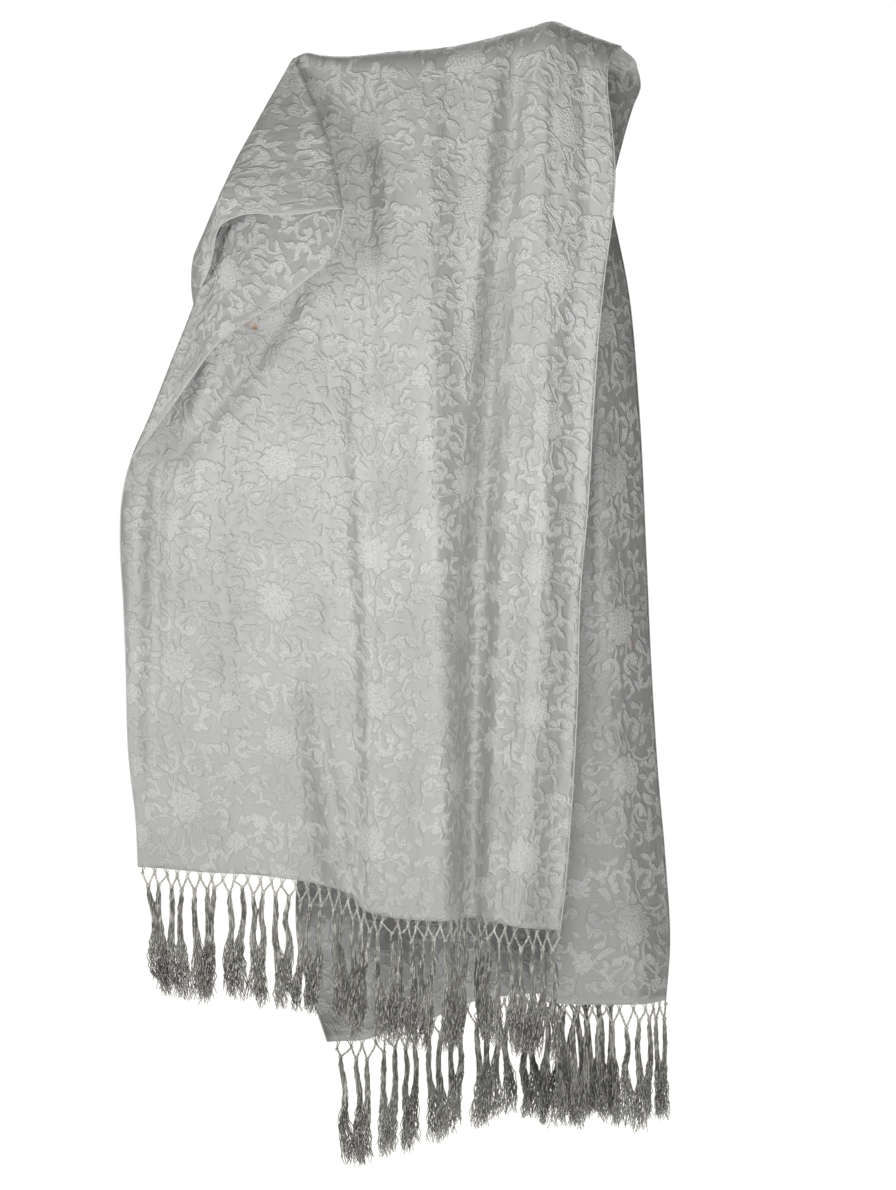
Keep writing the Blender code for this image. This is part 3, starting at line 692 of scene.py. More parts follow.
def near_apex(share, reach):
    """A turn's share of the way across a corner layer, larger towards the narrow apex."""
    return np.minimum(share / reach**APEX_WIDENING, WIDEST_TURN_SHARE)


def corner_columns(reach, first_share, last_share):
    """Shares across a corner layer for each ray, packed at its two turned edges."""
    bend = 1 - np.cos(np.linspace(0, math.pi / 2, CURL_COLUMNS + 1))
    rows = []
    for r in reach:
        first, last = near_apex(first_share, r), near_apex(last_share, r)
        flat = np.linspace(first, 1 - last, CORNER_FLAT_COLUMNS + 1)[1:-1]
        rows.append(np.concatenate([first * bend, flat, 1 - last * bend[::-1]]))
    return np.array(rows)


def fan_rise(fans, reach, across):
    """Rise of a corner layer's creases, which spread like a fan from the apex."""
    rise = 0.0
    for fan in fans:
        ridge = np.exp(-(((across - fan.across) / fan.width) ** 2))
        rise = rise + fan.rise * np.sin(math.pi * fan.end * reach) * ridge
    return rise


def turned_corner_ray(reach, across):
    """Points of the turned corner, across from the front fall's turned edge to its own fold."""
    x, drop = cone_points(CORNER_RIM, FRONT_LEFT, FRONT_TURN_END, reach, across, 0)
    x = x + CORNER_BOW * np.sin(math.pi * reach) * across**CORNER_BOW_POWER
    radius = turn_radius(mix(CORNER_DEPTH_TOP, FRONT_TURN_END, reach))
    turn = radius * (1 + arch(across / near_apex(TURN_SHARE, reach)))
    lift = CORNER_LIFT * reach * across**CORNER_LIFT_POWER
    fold = fold_radius(mix(CORNER_DEPTH_TOP, BACK_TURN_END, reach))
    fold = fold * (1 - arch((1 - across) / near_apex(TURN_SHARE, reach)))
    out = front_out(x, drop) + turn + lift + fold + fan_rise(TURNED_FANS, reach, across)
    return np.stack([x, out, drop], axis=-1)


def over_corner_ray(reach, across):
    """Points of the layer over the turned corner, from the fold round to the left side."""
    x, drop = cone_points(OVER_RIM, BACK_LEFT, BACK_TURN_END, reach, across, 1)
    x = x + CORNER_BOW * np.sin(math.pi * reach) * (1 - across) ** CORNER_BOW_POWER
    start = turned_corner_ray(reach, np.ones_like(across))[..., 1]
    side_drop = mix(CORNER_DEPTH_TOP, BACK_TURN_END, reach)
    near_fold = start + fold_radius(side_drop) * arch(across / near_apex(TURN_SHARE, reach))
    near_side = over_out(side_drop)
    bulge = np.sin(math.pi * np.clip(across / OVER_LAYER_BELLY_SHARE, 0, 1))
    belly = OVER_LAYER_BELLY * reach * bulge
    side_share = near_apex(SIDE_SHARE, reach)
    flat = mix(near_fold, near_side, ease(across / (1 - side_share))) + belly
    flat = flat + fan_rise(OVER_FANS, reach, across)
    side = near_side - side_rise(side_drop)
    round_side = side + (flat - side) * arch((1 - across) / side_share)
    out = np.where(across > 1 - side_share, round_side, flat)
    return np.stack([x, out, drop], axis=-1)


def even_columns(row, hem_row, count):
    """Shares of the way across that part a hem into equal lengths."""
    dense = np.linspace(0, 1, MEASURED_COLUMNS)
    points = row(dense, *hem_row)
    length = np.concatenate([[0], np.cumsum(np.linalg.norm(np.diff(points, axis=0), axis=1))])
    even = np.interp(np.linspace(0, length[-1], count + 1), length, dense)
    turned = np.linspace(-1, 0, CURL_COLUMNS, endpoint=False)
    return np.concatenate([turned, even])


def metres(points):
    """From (x, out, drop) in millimetres to (X, Y, Z) in metres."""
    points = np.asarray(points, float)
    return np.stack([points[..., 0], -points[..., 1], -points[..., 2]], axis=-1) * MM


def along(points, axis):
    """Share of the length from the start of each line of points, counted along an axis."""
    steps = np.linalg.norm(np.diff(points, axis=axis), axis=-1)
    length = np.cumsum(steps, axis=axis)
    length = np.concatenate([np.zeros_like(np.take(length, [0], axis)), length], axis=axis)
    return length / np.take(length, [-1], axis)


def met(grid, column, target, reach):
    """The grid with one border column moved to target, and its neighbours less and less."""
    fade = ease(1 - np.abs(np.arange(grid.shape[1]) - column % grid.shape[1]) / reach)
    return grid + (target - grid[:, column])[:, None] * fade[None, :, None]


def fall_places(grid, corner_end, hem):
    """The flat places of a fall: its left border follows the corner, then the selvedge."""
    apex = np.tile(PANEL_APEX, (ROLL_ROWS + 1, 1))
    reach = np.linspace(FIRST_REACH, 1, CORNER_ROWS + 1)[:, None]
    corner = mix(PANEL_APEX, corner_end, reach)
    lower = along(grid[ROLL_ROWS + 1 + CORNER_ROWS:], 0)[1:, :1]
    below = mix(corner_end, np.array((PANEL_WIDTH, hem)), lower)
    left = np.concatenate([apex, corner, below])
    down = along(grid[:, -1:], 0)
    right = mix(PANEL_CREST, np.array((0, hem)), down)
    return mix(left[:, None], right[:, None], along(grid, 1)[..., None])


def select_only(things):
    """These objects selected and no others, with the first one active."""
    bpy.ops.object.select_all(action="DESELECT")
    for thing in things:
        thing.select_set(True)
    bpy.context.view_layer.objects.active = things[0]


def joined(things):
    """Several mesh objects as one, under the first one's name."""
    select_only(things)
    bpy.ops.object.join()
    return things[0]


def corner_places(grid, start, end):
    """The flat places of a corner layer: rays from the apex to its rim."""
    rim = mix(start, end, along(grid[-1:], 1)[..., None])
    return mix(PANEL_APEX, rim, np.linspace(FIRST_REACH, 1, CORNER_ROWS + 1)[:, None, None])


front_rows = fall_rows(FRONT_HEM, FRONT_TURN_END, FRONT_LOWER_ROWS)
front_columns = even_columns(front_row, front_rows[-1], FLAT_COLUMNS)
front = np.array([front_row(front_columns, *row) for row in front_rows])
back_rows = fall_rows(BACK_HEM, BACK_TURN_END, BACK_LOWER_ROWS)
back_columns = even_columns(back_row, back_rows[-1], FLAT_COLUMNS)
back = np.array([back_row(back_columns, *row) for row in back_rows])
crest_step = np.arange(len(back))[:, None, None] / (2 * ROLL_ROWS)
back = back + (front[0] - back[0])[None] * (1 - ease(crest_step))

reach = np.linspace(FIRST_REACH, 1, CORNER_ROWS + 1)
corner_rows = slice(ROLL_ROWS + 1, ROLL_ROWS + 2 + CORNER_ROWS)
corner = turned_corner_ray(reach[:, None], corner_columns(reach, TURN_SHARE, TURN_SHARE))
corner = met(corner, 0, front[corner_rows, 0], CURL_COLUMNS)
over = over_corner_ray(reach[:, None], corner_columns(reach, TURN_SHARE, SIDE_SHARE))
over = met(over, 0, corner[:, -1], CURL_COLUMNS)
over = met(over, -1, back[corner_rows, 0], CURL_COLUMNS)

patches = [
    (front[:, ::-1], fall_places(front, PANEL_CORNER_END, 0)[:, ::-1]),
    (back, fall_places(back, PANEL_OVER_END, PANEL_BACK_END)),
    (corner, corner_places(corner, PANEL_CORNER_END, PANEL_CORNER_FOLD)),
    (over, corner_places(over, PANEL_CORNER_FOLD, PANEL_OVER_END)),
]
parts = []
for points, places in patches:
    bpy.ops.object.select_all(action="DESELECT")
    rows, columns = points.shape[:2]
    bpy.ops.mesh.primitive_grid_add(x_subdivisions=columns - 1, y_subdivisions=rows - 1, size=1)
    parts.append(bpy.context.object)
    mesh = bpy.context.object.data
    mesh.vertices.foreach_set("co", metres(points).ravel())
    layer = mesh.uv_layers[0]
    layer.name = "panel"
    corners = np.empty(len(mesh.loops), int)
    mesh.loops.foreach_get("vertex_index", corners)
    layer.data.foreach_set("uv", places.reshape(-1, 2)[corners].ravel())
cloth = joined(parts)
cloth.name = "shawl_cloth"
bpy.ops.object.mode_set(mode="EDIT")
bpy.ops.mesh.select_all(action="SELECT")
bpy.ops.mesh.remove_doubles(threshold=MERGE_DISTANCE * MM)

# The small opening that the four patches leave at the apex is closed with a ring of faces
bpy.ops.mesh.select_all(action="DESELECT")
bpy.ops.mesh.select_mode(type="VERT")
bpy.ops.mesh.select_non_manifold(
    use_wire=False,
    use_boundary=True,
    use_multi_face=False,
    use_non_contiguous=False,
    use_verts=False,
)
shape = bmesh.from_edit_mesh(cloth.data)
apex = metres((CREST[0].x, 0, CREST[0].drop))
for vertex in shape.verts:
    if vertex.select and np.linalg.norm(np.array(vertex.co) - apex) > APEX_OPENING * MM:
        vertex.select = False
shape.select_flush_mode()
bmesh.update_edit_mesh(cloth.data)
bpy.ops.mesh.edge_face_add()
bpy.ops.mesh.poke()
bpy.ops.object.mode_set(mode="OBJECT")
bpy.ops.object.shade_smooth()

# Jacquard figure
# Flowers, scrolls, leaves and berries of an ordinary damask, as a half-drop repeat that is mirrored
# about its middle. A scroll is a ring with a bite out of it, and a stem is a thin scroll.
REPEAT_WIDTH = 114
REPEAT_HEIGHT = 156
RING_WAVE = 1.5
VEIN_GAP = 2
LEAF_LINE_SHARE = 0.6
LEAF_LINE_GAP = 1.7

# Where each part of the figure starts and is full, in millimetres from its edge or its line
FIGURE_EDGE = (0.5, -0.5)
LINE_EDGE = (1.0, 0.3)
# The band round the figure's edge, placed by RIM_MIDDLE and RIM_EDGE, is darkened as painted groove
# shade
RIM_MIDDLE = 0.4
RIM_EDGE = (1.3, 0.2)
RELIEF_EDGE = (1.6, -1.3)

# Grain of the cloth's unevenness per millimetre, and what each part of it does
WANDER_SCALE = 0.09
WANDER_REACH = (9, 9, 0)
PEBBLE_SCALE = 0.45
PEBBLE_LIGHT = 0.5
PEBBLE_RELIEF = 1.5
THREAD_SCALE = 0.8
THREAD_LIGHT = 0.24
THREAD_ROUGHNESS = 0.1
RUCK_SCALE = (0.09, 0.023, 0)
RUCK_RELIEF = 2.8
TONE_SCALE = 0.012
TONE_EDGE = (0.36, 0.6)
TONE_LIGHT = 0.12
LIGHT = 0.92
FAINTEST_FIGURE = 0.5
# How far the figure's edges and its lines are darkened towards the painted groove shade
RIM_SHADE = 0.12
LINE_SHADE = 0.2
SATIN_ROUGHNESS = 0.64
FIGURE_ROUGHNESS = 0.1

FLOWERS = table(
    "x y radius petals petal_depth heart ring",
    (0, 0, 15.5, 10, 5.5, 6, 12),
    (57, 39, 8.5, 8, 4, 3, 7),
    (57, -39, 8.5, 8, 4, 3, 7),
)
SCROLLS = table(
    "x y radius half_width bite_x bite_y bite_radius",
    (15, 45, 9.5, 2.7, 22, 52, 7.5),
    (14, -46, 9.5, 2.7, 7, -39, 7),
    (37, 60, 9.5, 2.7, 45, 52, 7.5),
    (36, -60, 9.5, 2.6, 43, -68, 7.5),
    (41, 14, 8.5, 2.6, 50, 18, 7),
    (40, -12, 8.5, 2.5, 31, -17, 6.5),
    (10, 68, 7, 2.3, 3, 72, 5),
    (30, 30, 22, 1.2, 45, 12, 27),
    (28, -36, 23, 1.2, 44, -54, 27),
)
LEAVES = table(
    "x y angle length breadth",
    (0, 28, 90, 13, 7),
    (15, 22.5, 56, 13, 6.5),
    (26, 7, 15, 12, 6),
    (26, -8, -17, 12, 6),
    (15, -22.5, -56, 13, 6.5),
    (0, -28, -90, 13, 7),
    (33, 30, 30, 20, 9.5),
    (32, 45, 105, 15, 7),
    (25, 67, 55, 15, 7),
    (30, -32, -35, 20, 9.5),
    (31, -46, -100, 12, 6),
    (47, -51, 70, 12, 6),
    (20, -68, 25, 16, 7.5),
    (5, -60, 72, 14, 7),
    (50, 2, 80, 12, 6),
    (51, 66, -60, 14, 6.5),
    (52, -70, 55, 12, 6),
    (5, 57, 60, 13, 6),
)
BERRIES = table(
    "x y radius",
    (19, 40.5, 4.2),
    (18.5, -43, 4),
    (33.5, 62, 4.2),
    (33, -56, 3.8),
    (40, 10.5, 3.8),
    (43, -9, 3.6),
    (42, 37, 2.6),
    (0, -70, 3),
)


def distance(place, x, y, z=0):
    inputs = {0: place, 1: (x, y, z)}
    return place.node("VectorMath", {"operation": "DISTANCE"}, inputs, output="Value")


def damask(place):
    """How far a place is outside the figure, and how far it is from a line in it."""
    u = place.node("SeparateXYZ", {}, {0: place}, output="X")
    v = place.node("SeparateXYZ", {}, {0: place}, output="Y")
    column = (u / REPEAT_WIDTH).floor()
    x = abs(u - (column + 0.5) * REPEAT_WIDTH)
    row = v / REPEAT_HEIGHT + column * 0.5
    y = (row - row.floor() - 0.5) * REPEAT_HEIGHT
    spot = place.node("CombineXYZ", {}, {"X": x, "Y": y})
    figure = []
    lines = []
    for flower in FLOWERS:
        reach = distance(spot, flower.x, flower.y)
        up = y - flower.y
        turn = up.math("ARCTAN2", up, x - flower.x) * (flower.petals / 2)
        petal = abs(turn.math("COSINE", turn))
        figure.append(reach - petal.math("SQRT", petal) * flower.petal_depth - flower.radius)
        lines.append(abs(reach - flower.heart))
        lines.append(abs(reach - petal * RING_WAVE - flower.ring))
        vein = petal * reach / flower.petals * 2
        lines.append(vein.max(flower.ring + VEIN_GAP - reach))
    for scroll in SCROLLS:
        ring = abs(distance(spot, scroll.x, scroll.y) - scroll.radius) - scroll.half_width
        bite = scroll.bite_radius - distance(spot, scroll.bite_x, scroll.bite_y)
        figure.append(ring.max(bite))
    for leaf in LEAVES:
        half_breadth = leaf.breadth / 2
        radius = ((leaf.length / 2) ** 2 + half_breadth**2) / (2 * half_breadth)
        angle = math.radians(leaf.angle)
        aside_x = -math.sin(angle) * (radius - half_breadth)
        aside_y = math.cos(angle) * (radius - half_breadth)
        near = distance(spot, leaf.x + aside_x, leaf.y + aside_y)
        far = distance(spot, leaf.x - aside_x, leaf.y - aside_y)
        edge = near.max(far) - radius
        figure.append(edge)
        lines.append((abs(near - far) * LEAF_LINE_SHARE).max(edge + LEAF_LINE_GAP))
    for berry in BERRIES:
        figure.append(distance(spot, berry.x, berry.y) - berry.radius)
    return reduce(Value.min, figure), reduce(Value.min, lines)


# Marks on the cloth: a brown one in a paler ring below the corner's rim, and a faint one at the side
STAIN = (0.38, 0.20, 0.12, 1)
RIM_STAIN_OUT = float(front_out(np.array(-194.0), np.array(310.0)))
SIDE_STAIN_OUT = -60
STAIN_CORE_SHARE = 0.3
STAINS = table(
    "x out drop radius strength",
    (-193, RIM_STAIN_OUT, 311, 5, 0.8),
    (-201, RIM_STAIN_OUT, 305, 9, 0.35),
    (228, SIDE_STAIN_OUT, 664, 9, 0.25),
)


def jacquard(name, ground, figure, painted_groove_shade, gloss, relief):
    """Satin cloth with a raised matt figure, its weave, and slight unevenness of tone, with painted
    shade darkening the figure's edges and lines as if in grooves.
    """
    material, shader, start = finish_of(name, SATIN_ROUGHNESS)
    panel = start.node("UVMap", {"uv_map": "panel"})
    place = panel.vector("SCALE", {"Scale": 1 / MM})
    wander = place.noise(WANDER_SCALE, 0, "Color")
    wobbled = wander.vector("MULTIPLY_ADD", {1: WANDER_REACH, 2: place})
    outside, lines = damask(wobbled)
    inside = outside.step(*FIGURE_EDGE)
    line = lines.step(*LINE_EDGE) * inside
    # Band round the figure's edge that gets painted groove shade
    rim = abs(outside - RIM_MIDDLE).step(*RIM_EDGE)
    pebble = place.noise(PEBBLE_SCALE, 0) - 0.5
    thread = place.noise(THREAD_SCALE, 0) - 0.5
    ruck = wobbled.vector("MULTIPLY", {1: RUCK_SCALE}).noise(1, 1)
    tone = place.noise(TONE_SCALE, 1)
    strength = tone.step(*TONE_EDGE) * (1 - FAINTEST_FIGURE) + FAINTEST_FIGURE
    shade = (inside * strength).blend(ground, figure)
    # Painted shade: the figure's edges and lines are darkened towards the groove colour, as shade in
    # grooves
    shade = (rim * RIM_SHADE + line * LINE_SHADE).blend(shade, painted_groove_shade)
    light = LIGHT + tone * TONE_LIGHT + pebble * PEBBLE_LIGHT * inside + thread * THREAD_LIGHT
    shade = shade.vector("SCALE", {"Scale": light})
    spot = start.node("TexCoord", output="Object")
    for stain in STAINS:
        reach = distance(spot, stain.x * MM, -stain.out * MM, -stain.drop * MM) / MM
        reach = reach + pebble * stain.radius
        mark = reach.step(stain.radius, stain.radius * STAIN_CORE_SHARE)
        shade = (mark * stain.strength).blend(shade, STAIN)
    link(shader, "Base Color", shade)
    link(shader, "Metallic", gloss - inside * strength * gloss)
    roughness = SATIN_ROUGHNESS + inside * FIGURE_ROUGHNESS + thread * THREAD_ROUGHNESS
    link(shader, "Roughness", roughness)
    height = outside.step(*RELIEF_EDGE) + pebble * PEBBLE_RELIEF * inside + ruck * RUCK_RELIEF
    bump = start.node("Bump", {}, {"Strength": 1.0, "Distance": relief * MM, "Height": height})
    link(shader, "Normal", bump)
    return material


satin = jacquard(
    "silver_satin",
    ground=(0.48, 0.48, 0.475, 1),
    figure=(0.55, 0.55, 0.545, 1),
    painted_groove_shade=(0.39, 0.39, 0.385, 1),
    gloss=0.45,
    relief=0.8,
)
reverse = jacquard(
    "silver_satin_reverse",
    ground=(0.44, 0.44, 0.435, 1),
    figure=(0.55, 0.55, 0.545, 1),
    painted_groove_shade=(0.36, 0.36, 0.355, 1),
    gloss=0.4,
    relief=0.7,
)
cloth.data.materials.clear()
cloth.data.materials.append(satin)
cloth.data.materials.append(reverse)
thicken = cloth.modifiers.new("Thickness", "SOLIDIFY")
thicken.thickness = CLOTH_THICKNESS * MM
thicken.offset = 0
thicken.use_even_offset = False
thicken.material_offset = 1
bpy.ops.object.modifier_apply(modifier="Thickness")
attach(cloth, "root")
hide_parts("front_fall", "back_fall", "turned_corner", "over_corner")

# Selvedges
# The panel's two long edges are woven tighter, in a narrow roll of yarn that runs the whole length
# of the cloth. Each is a thin round cord laid on the edge, its pale colour partly the yarn's and
# partly a painted highlight along the roll.
SELVEDGE_RADIUS = 0.8
SELVEDGE_POINTS = 420
SELVEDGE_YARN_AND_HIGHLIGHT = (0.64, 0.64, 0.63, 1)
SELVEDGE_GROOVE = (0.40, 0.40, 0.39, 1)
SELVEDGE_ROUGHNESS = 0.6
SELVEDGE_STREAKS = 900
SELVEDGE_TWIST = 1400
SELVEDGE_RELIEF = 0.3


def cord_curve(name, radius, sides=0):
    """An empty curve object whose splines are cords of a radius, rounder with more sides."""
    curve = bpy.data.curves.new(name, "CURVE")
    curve.dimensions = "3D"
    curve.bevel_depth = radius * MM
    curve.bevel_resolution = sides
    curve.use_fill_caps = True
    thing = bpy.data.objects.new(name, curve)
    bpy.context.scene.collection.objects.link(thing)
    return thing


def add_cord(thing, points, thickness=1.0):
    """A cord through points (x, out, drop), as a share of the curve's radius at each."""
    spline = thing.data.splines.new("POLY")
    spline.points.add(len(points) - 1)
    spots = np.concatenate([metres(points), np.ones((len(points), 1))], axis=1)
    spline.points.foreach_set("co", spots.ravel())
    spline.points.foreach_set("radius", np.broadcast_to(thickness, len(points)).astype(float))


def to_mesh(thing, material):
    """The curve as a smooth mesh with one material."""
    select_only([thing])
    bpy.ops.object.convert(target="MESH")
    bpy.ops.object.shade_smooth()
    thing.data.materials.append(material)


def evenly(points, count):
    """A line of points placed at equal lengths along another."""
    points = np.asarray(points, float)
    share = along(points[None], 1)[0]
    at = np.linspace(0, 1, count)
    return np.stack([np.interp(at, share, points[:, k]) for k in range(3)], axis=1)


rim_row = ROLL_ROWS + 1 + CORNER_ROWS
left_edge = np.concatenate(
    [front[rim_row:, 0][::-1], corner[-1, 1:], over[-1, 1:], back[rim_row + 1:, 0]]
)
right_edge = np.concatenate([front[::-1, -1], back[1:, -1]])
selvedge_yarn, shader, start = finish_of("selvedge_yarn", SELVEDGE_ROUGHNESS)
place = start.node("TexCoord", output="Object")
streaks = place.noise(SELVEDGE_STREAKS, 2)
# The cord's pale colour is partly a painted highlight along the rolled edge, streaked with a darker
# yarn tone
link(shader, "Base Color", streaks.blend(SELVEDGE_GROOVE, SELVEDGE_YARN_AND_HIGHLIGHT))
height = place.noise(SELVEDGE_TWIST, 1)
relief = {"Strength": 0.6, "Distance": SELVEDGE_RELIEF * MM, "Height": height}
link(shader, "Normal", start.node("Bump", {}, relief))
selvedge = cord_curve("selvedges", SELVEDGE_RADIUS, sides=1)
for edge in (left_edge, right_edge):
    add_cord(selvedge, evenly(edge, SELVEDGE_POINTS))
to_mesh(selvedge, selvedge_yarn)
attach(selvedge, "root")

# Knotted fringes
# At each end, bundles of yarn drawn through the cut edge are knotted, parted and knotted again with
# their neighbours into a net. Below it each pair hangs as a tassel with a frayed end, its yarn
# painted darker than the net's for the shade inside the bundle.
TASSELS = 40
FRINGE_LENGTH = 146
FRINGE_SEED = 7
CORD_RADIUS = 0.7
CORD_SHARE = 1.5
KNOT_SHARE = 2.0
KNOT_TURNS = (-0.3, 1.6)
KNOT_LENGTH_SHARE = 1.5
KNOT_DEPTH_SHARE = 0.8
KNOT_POINTS = 12

# Net: roots in the hem, upper knots, two-ply cords, lower knots, and how far these stray
ROOT_SPREAD = 0.24
ROOT_RISE = 0.8
ROOT_SHARE = 1.1
ROOT_POINTS = 4
HEM_END = 0.02
UPPER_KNOT_DROP = 7
UPPER_KNOT_SIZE = 1.35
UPPER_KNOT_LEAN = 0.4
UPPER_STRAY = 1.4
LOWER_KNOT_DROP = 21
LOWER_KNOT_SIZE = 1.9
LOWER_KNOT_LEAN = 0.8
LOWER_STRAY = (2.2, 0.8, 2.6)
CORD_TURNS = 2.5
CORD_POINTS = 9
CORD_SAG = (-1.0, 1.8)

# Tassels: threads, and how each tassel bends, sways and gathers with its neighbours
THREADS = 34
THREAD_POINTS = 13
THREAD_RADIUS = 0.52
THREAD_WAVES = (22, 40)
WAVE_PHASE = 6.3
SHORTEST_THREAD_SHARE = 0.88
TIP_START = 0.97
TIP_SHARE = 0.6
GOLDEN_ANGLE = 2.399963
TASSEL_DEPTH_SHARE = 0.75
TASSEL_WAVES = (5, 12)
TASSEL_BEND = (0.6, 2.6)
BEND_START = 0.2
TASSEL_SPREAD = (0.5, 1.3)
SPREAD_START = 0.45
SPREAD_SHARE = 0.4
SWAY_POWER = 1.4
CLUMPS = (1, 1, 2, 2, 3, 3, 4)
CLUMP_PULL = 5.5
CLUMP_LEAN = 4
SWAY_STRAY = 1.5
SWING_KEPT = 0.4
SWING_STRAY = 2.5
LENGTH_STRAY = 7
SILK_ROUGHNESS = 0.5
SILK_TONE = 30
SILK_TONE_EDGE = (0.35, 0.65)
SILK_STREAKS = 650
SILK_STREAK_EDGE = (0.45, 0.68)
SILK_STRETCH = (1, 1, 0.14)

# A tassel's shape, by share of the way down it: its radius, the turns of its yarn, and how far the
# threads stray from a smooth line
TASSEL = table(
    "share radius twist crinkle",
    (0, 1.8, 0, 0.1),
    (0.08, 2.7, 0.2, 0.3),
    (0.3, 3.0, 0.55, 0.4),
    (0.48, 3.8, 0.8, 0.7),
    (0.62, 6.0, 0.95, 1.3),
    (0.8, 8.2, 1.0, 1.9),
    (1, 8.6, 1.05, 2.4),
)


class Hem:
    """The line that a fringe hangs from, with level directions along it and out of it."""

    def __init__(self, points):
        self.points = points
        run = np.gradient(points[:, :2], axis=0)
        self.run = run / np.linalg.norm(run, axis=1, keepdims=True)

    def place(self, at, sideways, out, down):
        """Points at hem position `at`, counted in tassels, moved sideways, out and down."""
        i = min(max(int(at), 0), len(self.points) - 2)
        base = mix(self.points[i], self.points[i + 1], at - i)
        run = mix(self.run[i], self.run[i + 1], at - i)
        sideways, out, down = np.broadcast_arrays(sideways, out, down)
        x = base[0] + run[0] * sideways - run[1] * out
        y = base[1] + run[1] * sideways + run[0] * out
        return np.stack([x, y, base[2] + down], axis=-1)


def two_ply(thing, start_point, end_point, sag):
    """A thin cord of two twisted yarns between two points."""
    t = np.linspace(0, 1, CORD_POINTS)[:, None]
    middle = mix(start_point, end_point, t) + np.array([0, 0, sag]) * 4 * t * (1 - t)
    axis = (end_point - start_point) / np.linalg.norm(end_point - start_point)
    side = np.array([axis[2], 0, -axis[0]])
    side = side / max(np.linalg.norm(side), 1e-6)
    other = np.cross(axis, side)
    for half in (0, math.pi):
        angle = 2 * math.pi * CORD_TURNS * t + half
        yarn = middle + CORD_RADIUS * (np.cos(angle) * side + np.sin(angle) * other)
        add_cord(thing, yarn, CORD_SHARE)


def knot(thing, at, size, lean):
    """A knot: one yarn wound nearly twice round the bundle at a point."""
    turn = np.linspace(*KNOT_TURNS, KNOT_POINTS) * 2 * math.pi
    drop = np.linspace(-0.5, 0.5, KNOT_POINTS) * size * KNOT_LENGTH_SHARE + lean * np.sin(turn)
    aside = size * np.cos(turn)
    out = size * KNOT_DEPTH_SHARE * np.sin(turn)
    add_cord(thing, at + np.stack([aside, out, drop], axis=-1), KNOT_SHARE)


def tassel(thing, hem, i, start, rng, length, sway, swing, spread):
    """A hanging bundle of threads, twisted above and frayed below."""
    t = np.linspace(0, 1, THREAD_POINTS)
    radius = read(TASSEL, "share", "radius", t)
    twist = read(TASSEL, "share", "twist", t) * 2 * math.pi
    stray = read(TASSEL, "share", "crinkle", t)
    fray = mix(1, spread, ease((t - SPREAD_START) / SPREAD_SHARE))
    first = rng.uniform(0, 2 * math.pi)
    bends = rng.uniform(*TASSEL_WAVES)
    wave = (np.sin(t * bends + first) - math.sin(first)) * ease(t / BEND_START)
    wave = rng.uniform(*TASSEL_BEND) * wave
    for k in range(THREADS):
        angle = first + GOLDEN_ANGLE * k + twist
        reach = radius * math.sqrt((k + 0.5) / THREADS) * fray
        aside = stray * np.sin(t * rng.uniform(*THREAD_WAVES) + rng.uniform(0, WAVE_PHASE))
        away = stray * np.sin(t * rng.uniform(*THREAD_WAVES) + rng.uniform(0, WAVE_PHASE))
        end = length * rng.uniform(SHORTEST_THREAD_SHARE, 1.0)
        down = mix(start[2] + 1, end, t)
        sideways = start[0] + sway * t**SWAY_POWER + wave + reach * np.cos(angle) + aside
        depth = TASSEL_DEPTH_SHARE * reach * np.sin(angle)
        out = start[1] + swing * t**SWAY_POWER + depth + away
        thickness = np.where(t > TIP_START, TIP_SHARE, 1.0)
        add_cord(thing, hem.place(i + 0.5, sideways, out, down), thickness)


def net(thing, hem, rng, lower):
    """The knotted net between the hem and the lower knots, which lie at the places given."""
    for i in range(TASSELS + 1):
        stray = rng.normal(0, UPPER_STRAY, 2)
        upper = hem.place(i, stray[0], 0, UPPER_KNOT_DROP + stray[1])
        for spread in (-ROOT_SPREAD, 0, ROOT_SPREAD):
            at = min(max(i + spread, HEM_END), TASSELS - HEM_END)
            root = hem.place(at, 0, 0, -ROOT_RISE)
            yarn = mix(root, upper, np.linspace(0, 1, ROOT_POINTS)[:, None])
            add_cord(thing, yarn, ROOT_SHARE)
        knot(thing, upper, UPPER_KNOT_SIZE, rng.uniform(-UPPER_KNOT_LEAN, UPPER_KNOT_LEAN))
        for tassel_at in (i - 0.5, i + 0.5):
            if 0 <= tassel_at <= TASSELS:
                low = hem.place(tassel_at, *lower[int(tassel_at)])
                two_ply(thing, upper, low, rng.uniform(*CORD_SAG))
        if i < TASSELS:
            low = hem.place(i + 0.5, *lower[i])
            knot(thing, low, LOWER_KNOT_SIZE, rng.uniform(-LOWER_KNOT_LEAN, LOWER_KNOT_LEAN))


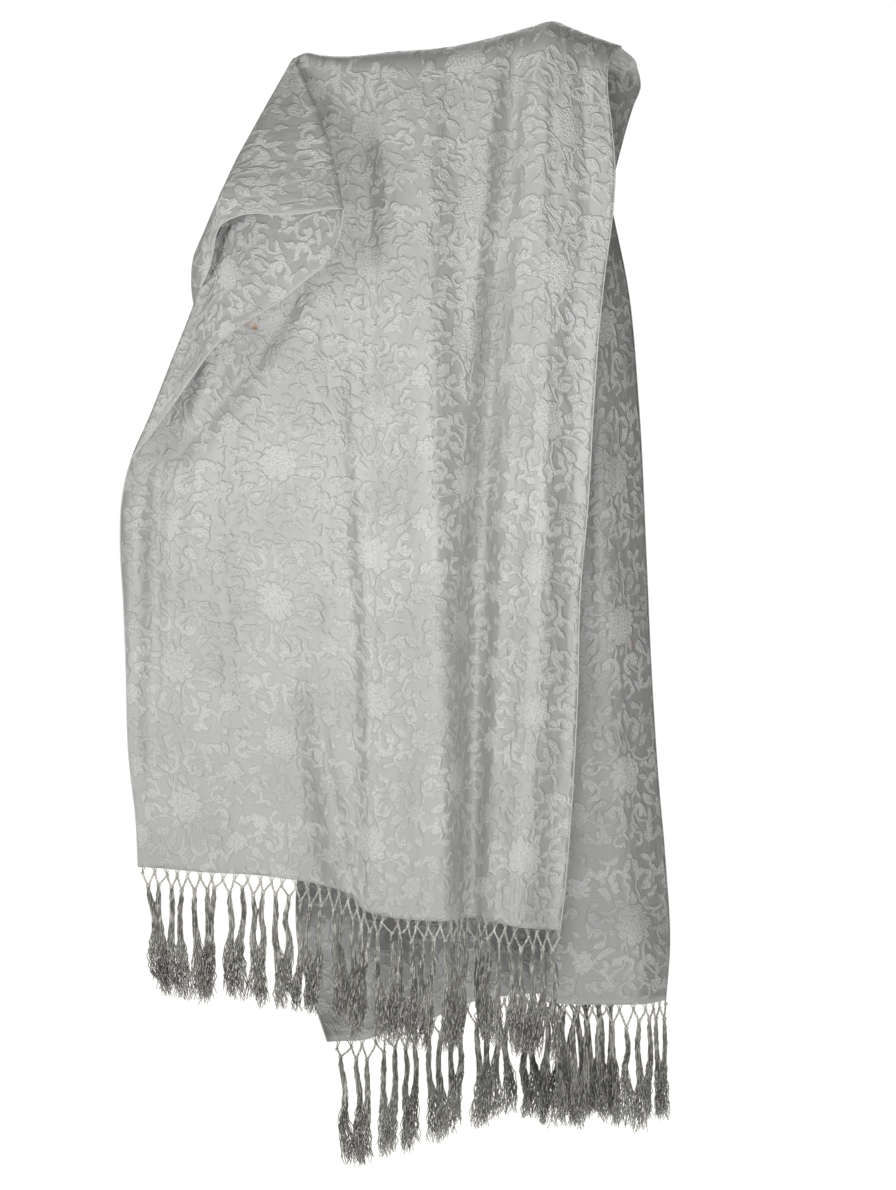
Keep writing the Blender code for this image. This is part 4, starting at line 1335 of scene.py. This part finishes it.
def fringe(name, hem_points, seed, solid):
    """The net and the tassels along one hem, as one piece that stands for a solid."""
    hem = Hem(hem_points)
    rng = np.random.default_rng(seed)
    thing = cord_curve(name, THREAD_RADIUS)
    lower = rng.normal(0, 1, (TASSELS, 3)) * LOWER_STRAY + (0, 0, LOWER_KNOT_DROP)
    net(thing, hem, rng, lower)
    to_mesh(thing, net_silk)
    strands = cord_curve(name + "_tassels", THREAD_RADIUS)
    first = 0
    swing = 0.0
    while first < TASSELS:
        count = min(int(rng.choice(CLUMPS)), TASSELS - first)
        lean = rng.normal(0, CLUMP_LEAN)
        for i in range(first, first + count):
            swing = SWING_KEPT * swing + rng.normal(0, SWING_STRAY)
            pull = (first + (count - 1) / 2 - i) * CLUMP_PULL
            sway = pull + lean + rng.normal(0, SWAY_STRAY)
            length = FRINGE_LENGTH - abs(rng.normal(0, LENGTH_STRAY))
            spread = rng.uniform(*TASSEL_SPREAD)
            tassel(strands, hem, i, lower[i], rng, length, sway, swing, spread)
        first += count
    to_mesh(strands, shaded_tassel_silk)
    thing = joined([thing, strands])
    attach(thing, "root")
    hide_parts(solid)
    return thing


def silk(name, dark, middle, light):
    """Silk yarn, with streaks along its strands and an uneven tone."""
    material, shader, start = finish_of(name, SILK_ROUGHNESS)
    place = start.node("TexCoord", output="Object")
    tone = place.noise(SILK_TONE, 1).step(*SILK_TONE_EDGE).blend(dark, middle)
    streaks = place.vector("MULTIPLY", {1: SILK_STRETCH}).noise(SILK_STREAKS, 1)
    link(shader, "Base Color", streaks.step(*SILK_STREAK_EDGE).blend(tone, light))
    return material


# Painted shade: the tassels' yarn is painted darker than the same yarn in the net, for the shade
# inside the bundles
shaded_tassel_silk = silk(
    "fringe_silk_painted_shade", (0.12, 0.115, 0.1, 1), (0.26, 0.255, 0.23, 1), (0.64, 0.63, 0.59, 1)
)
net_silk = silk(
    "fringe_cord", (0.36, 0.35, 0.31, 1), (0.48, 0.47, 0.43, 1), (0.74, 0.73, 0.69, 1)
)


def hem_points(row, hem_row):
    """The points of a hem that part it into equal lengths, one for each tassel."""
    return row(even_columns(row, hem_row, TASSELS)[CURL_COLUMNS:], *hem_row)


front_hem = hem_points(front_row, front_rows[-1])
back_hem = hem_points(back_row, back_rows[-1])
front_fringe = fringe("front_fringe_yarn", front_hem, FRINGE_SEED, "front_fringe")
back_fringe = fringe("back_fringe_yarn", back_hem, FRINGE_SEED + 1, "back_fringe")
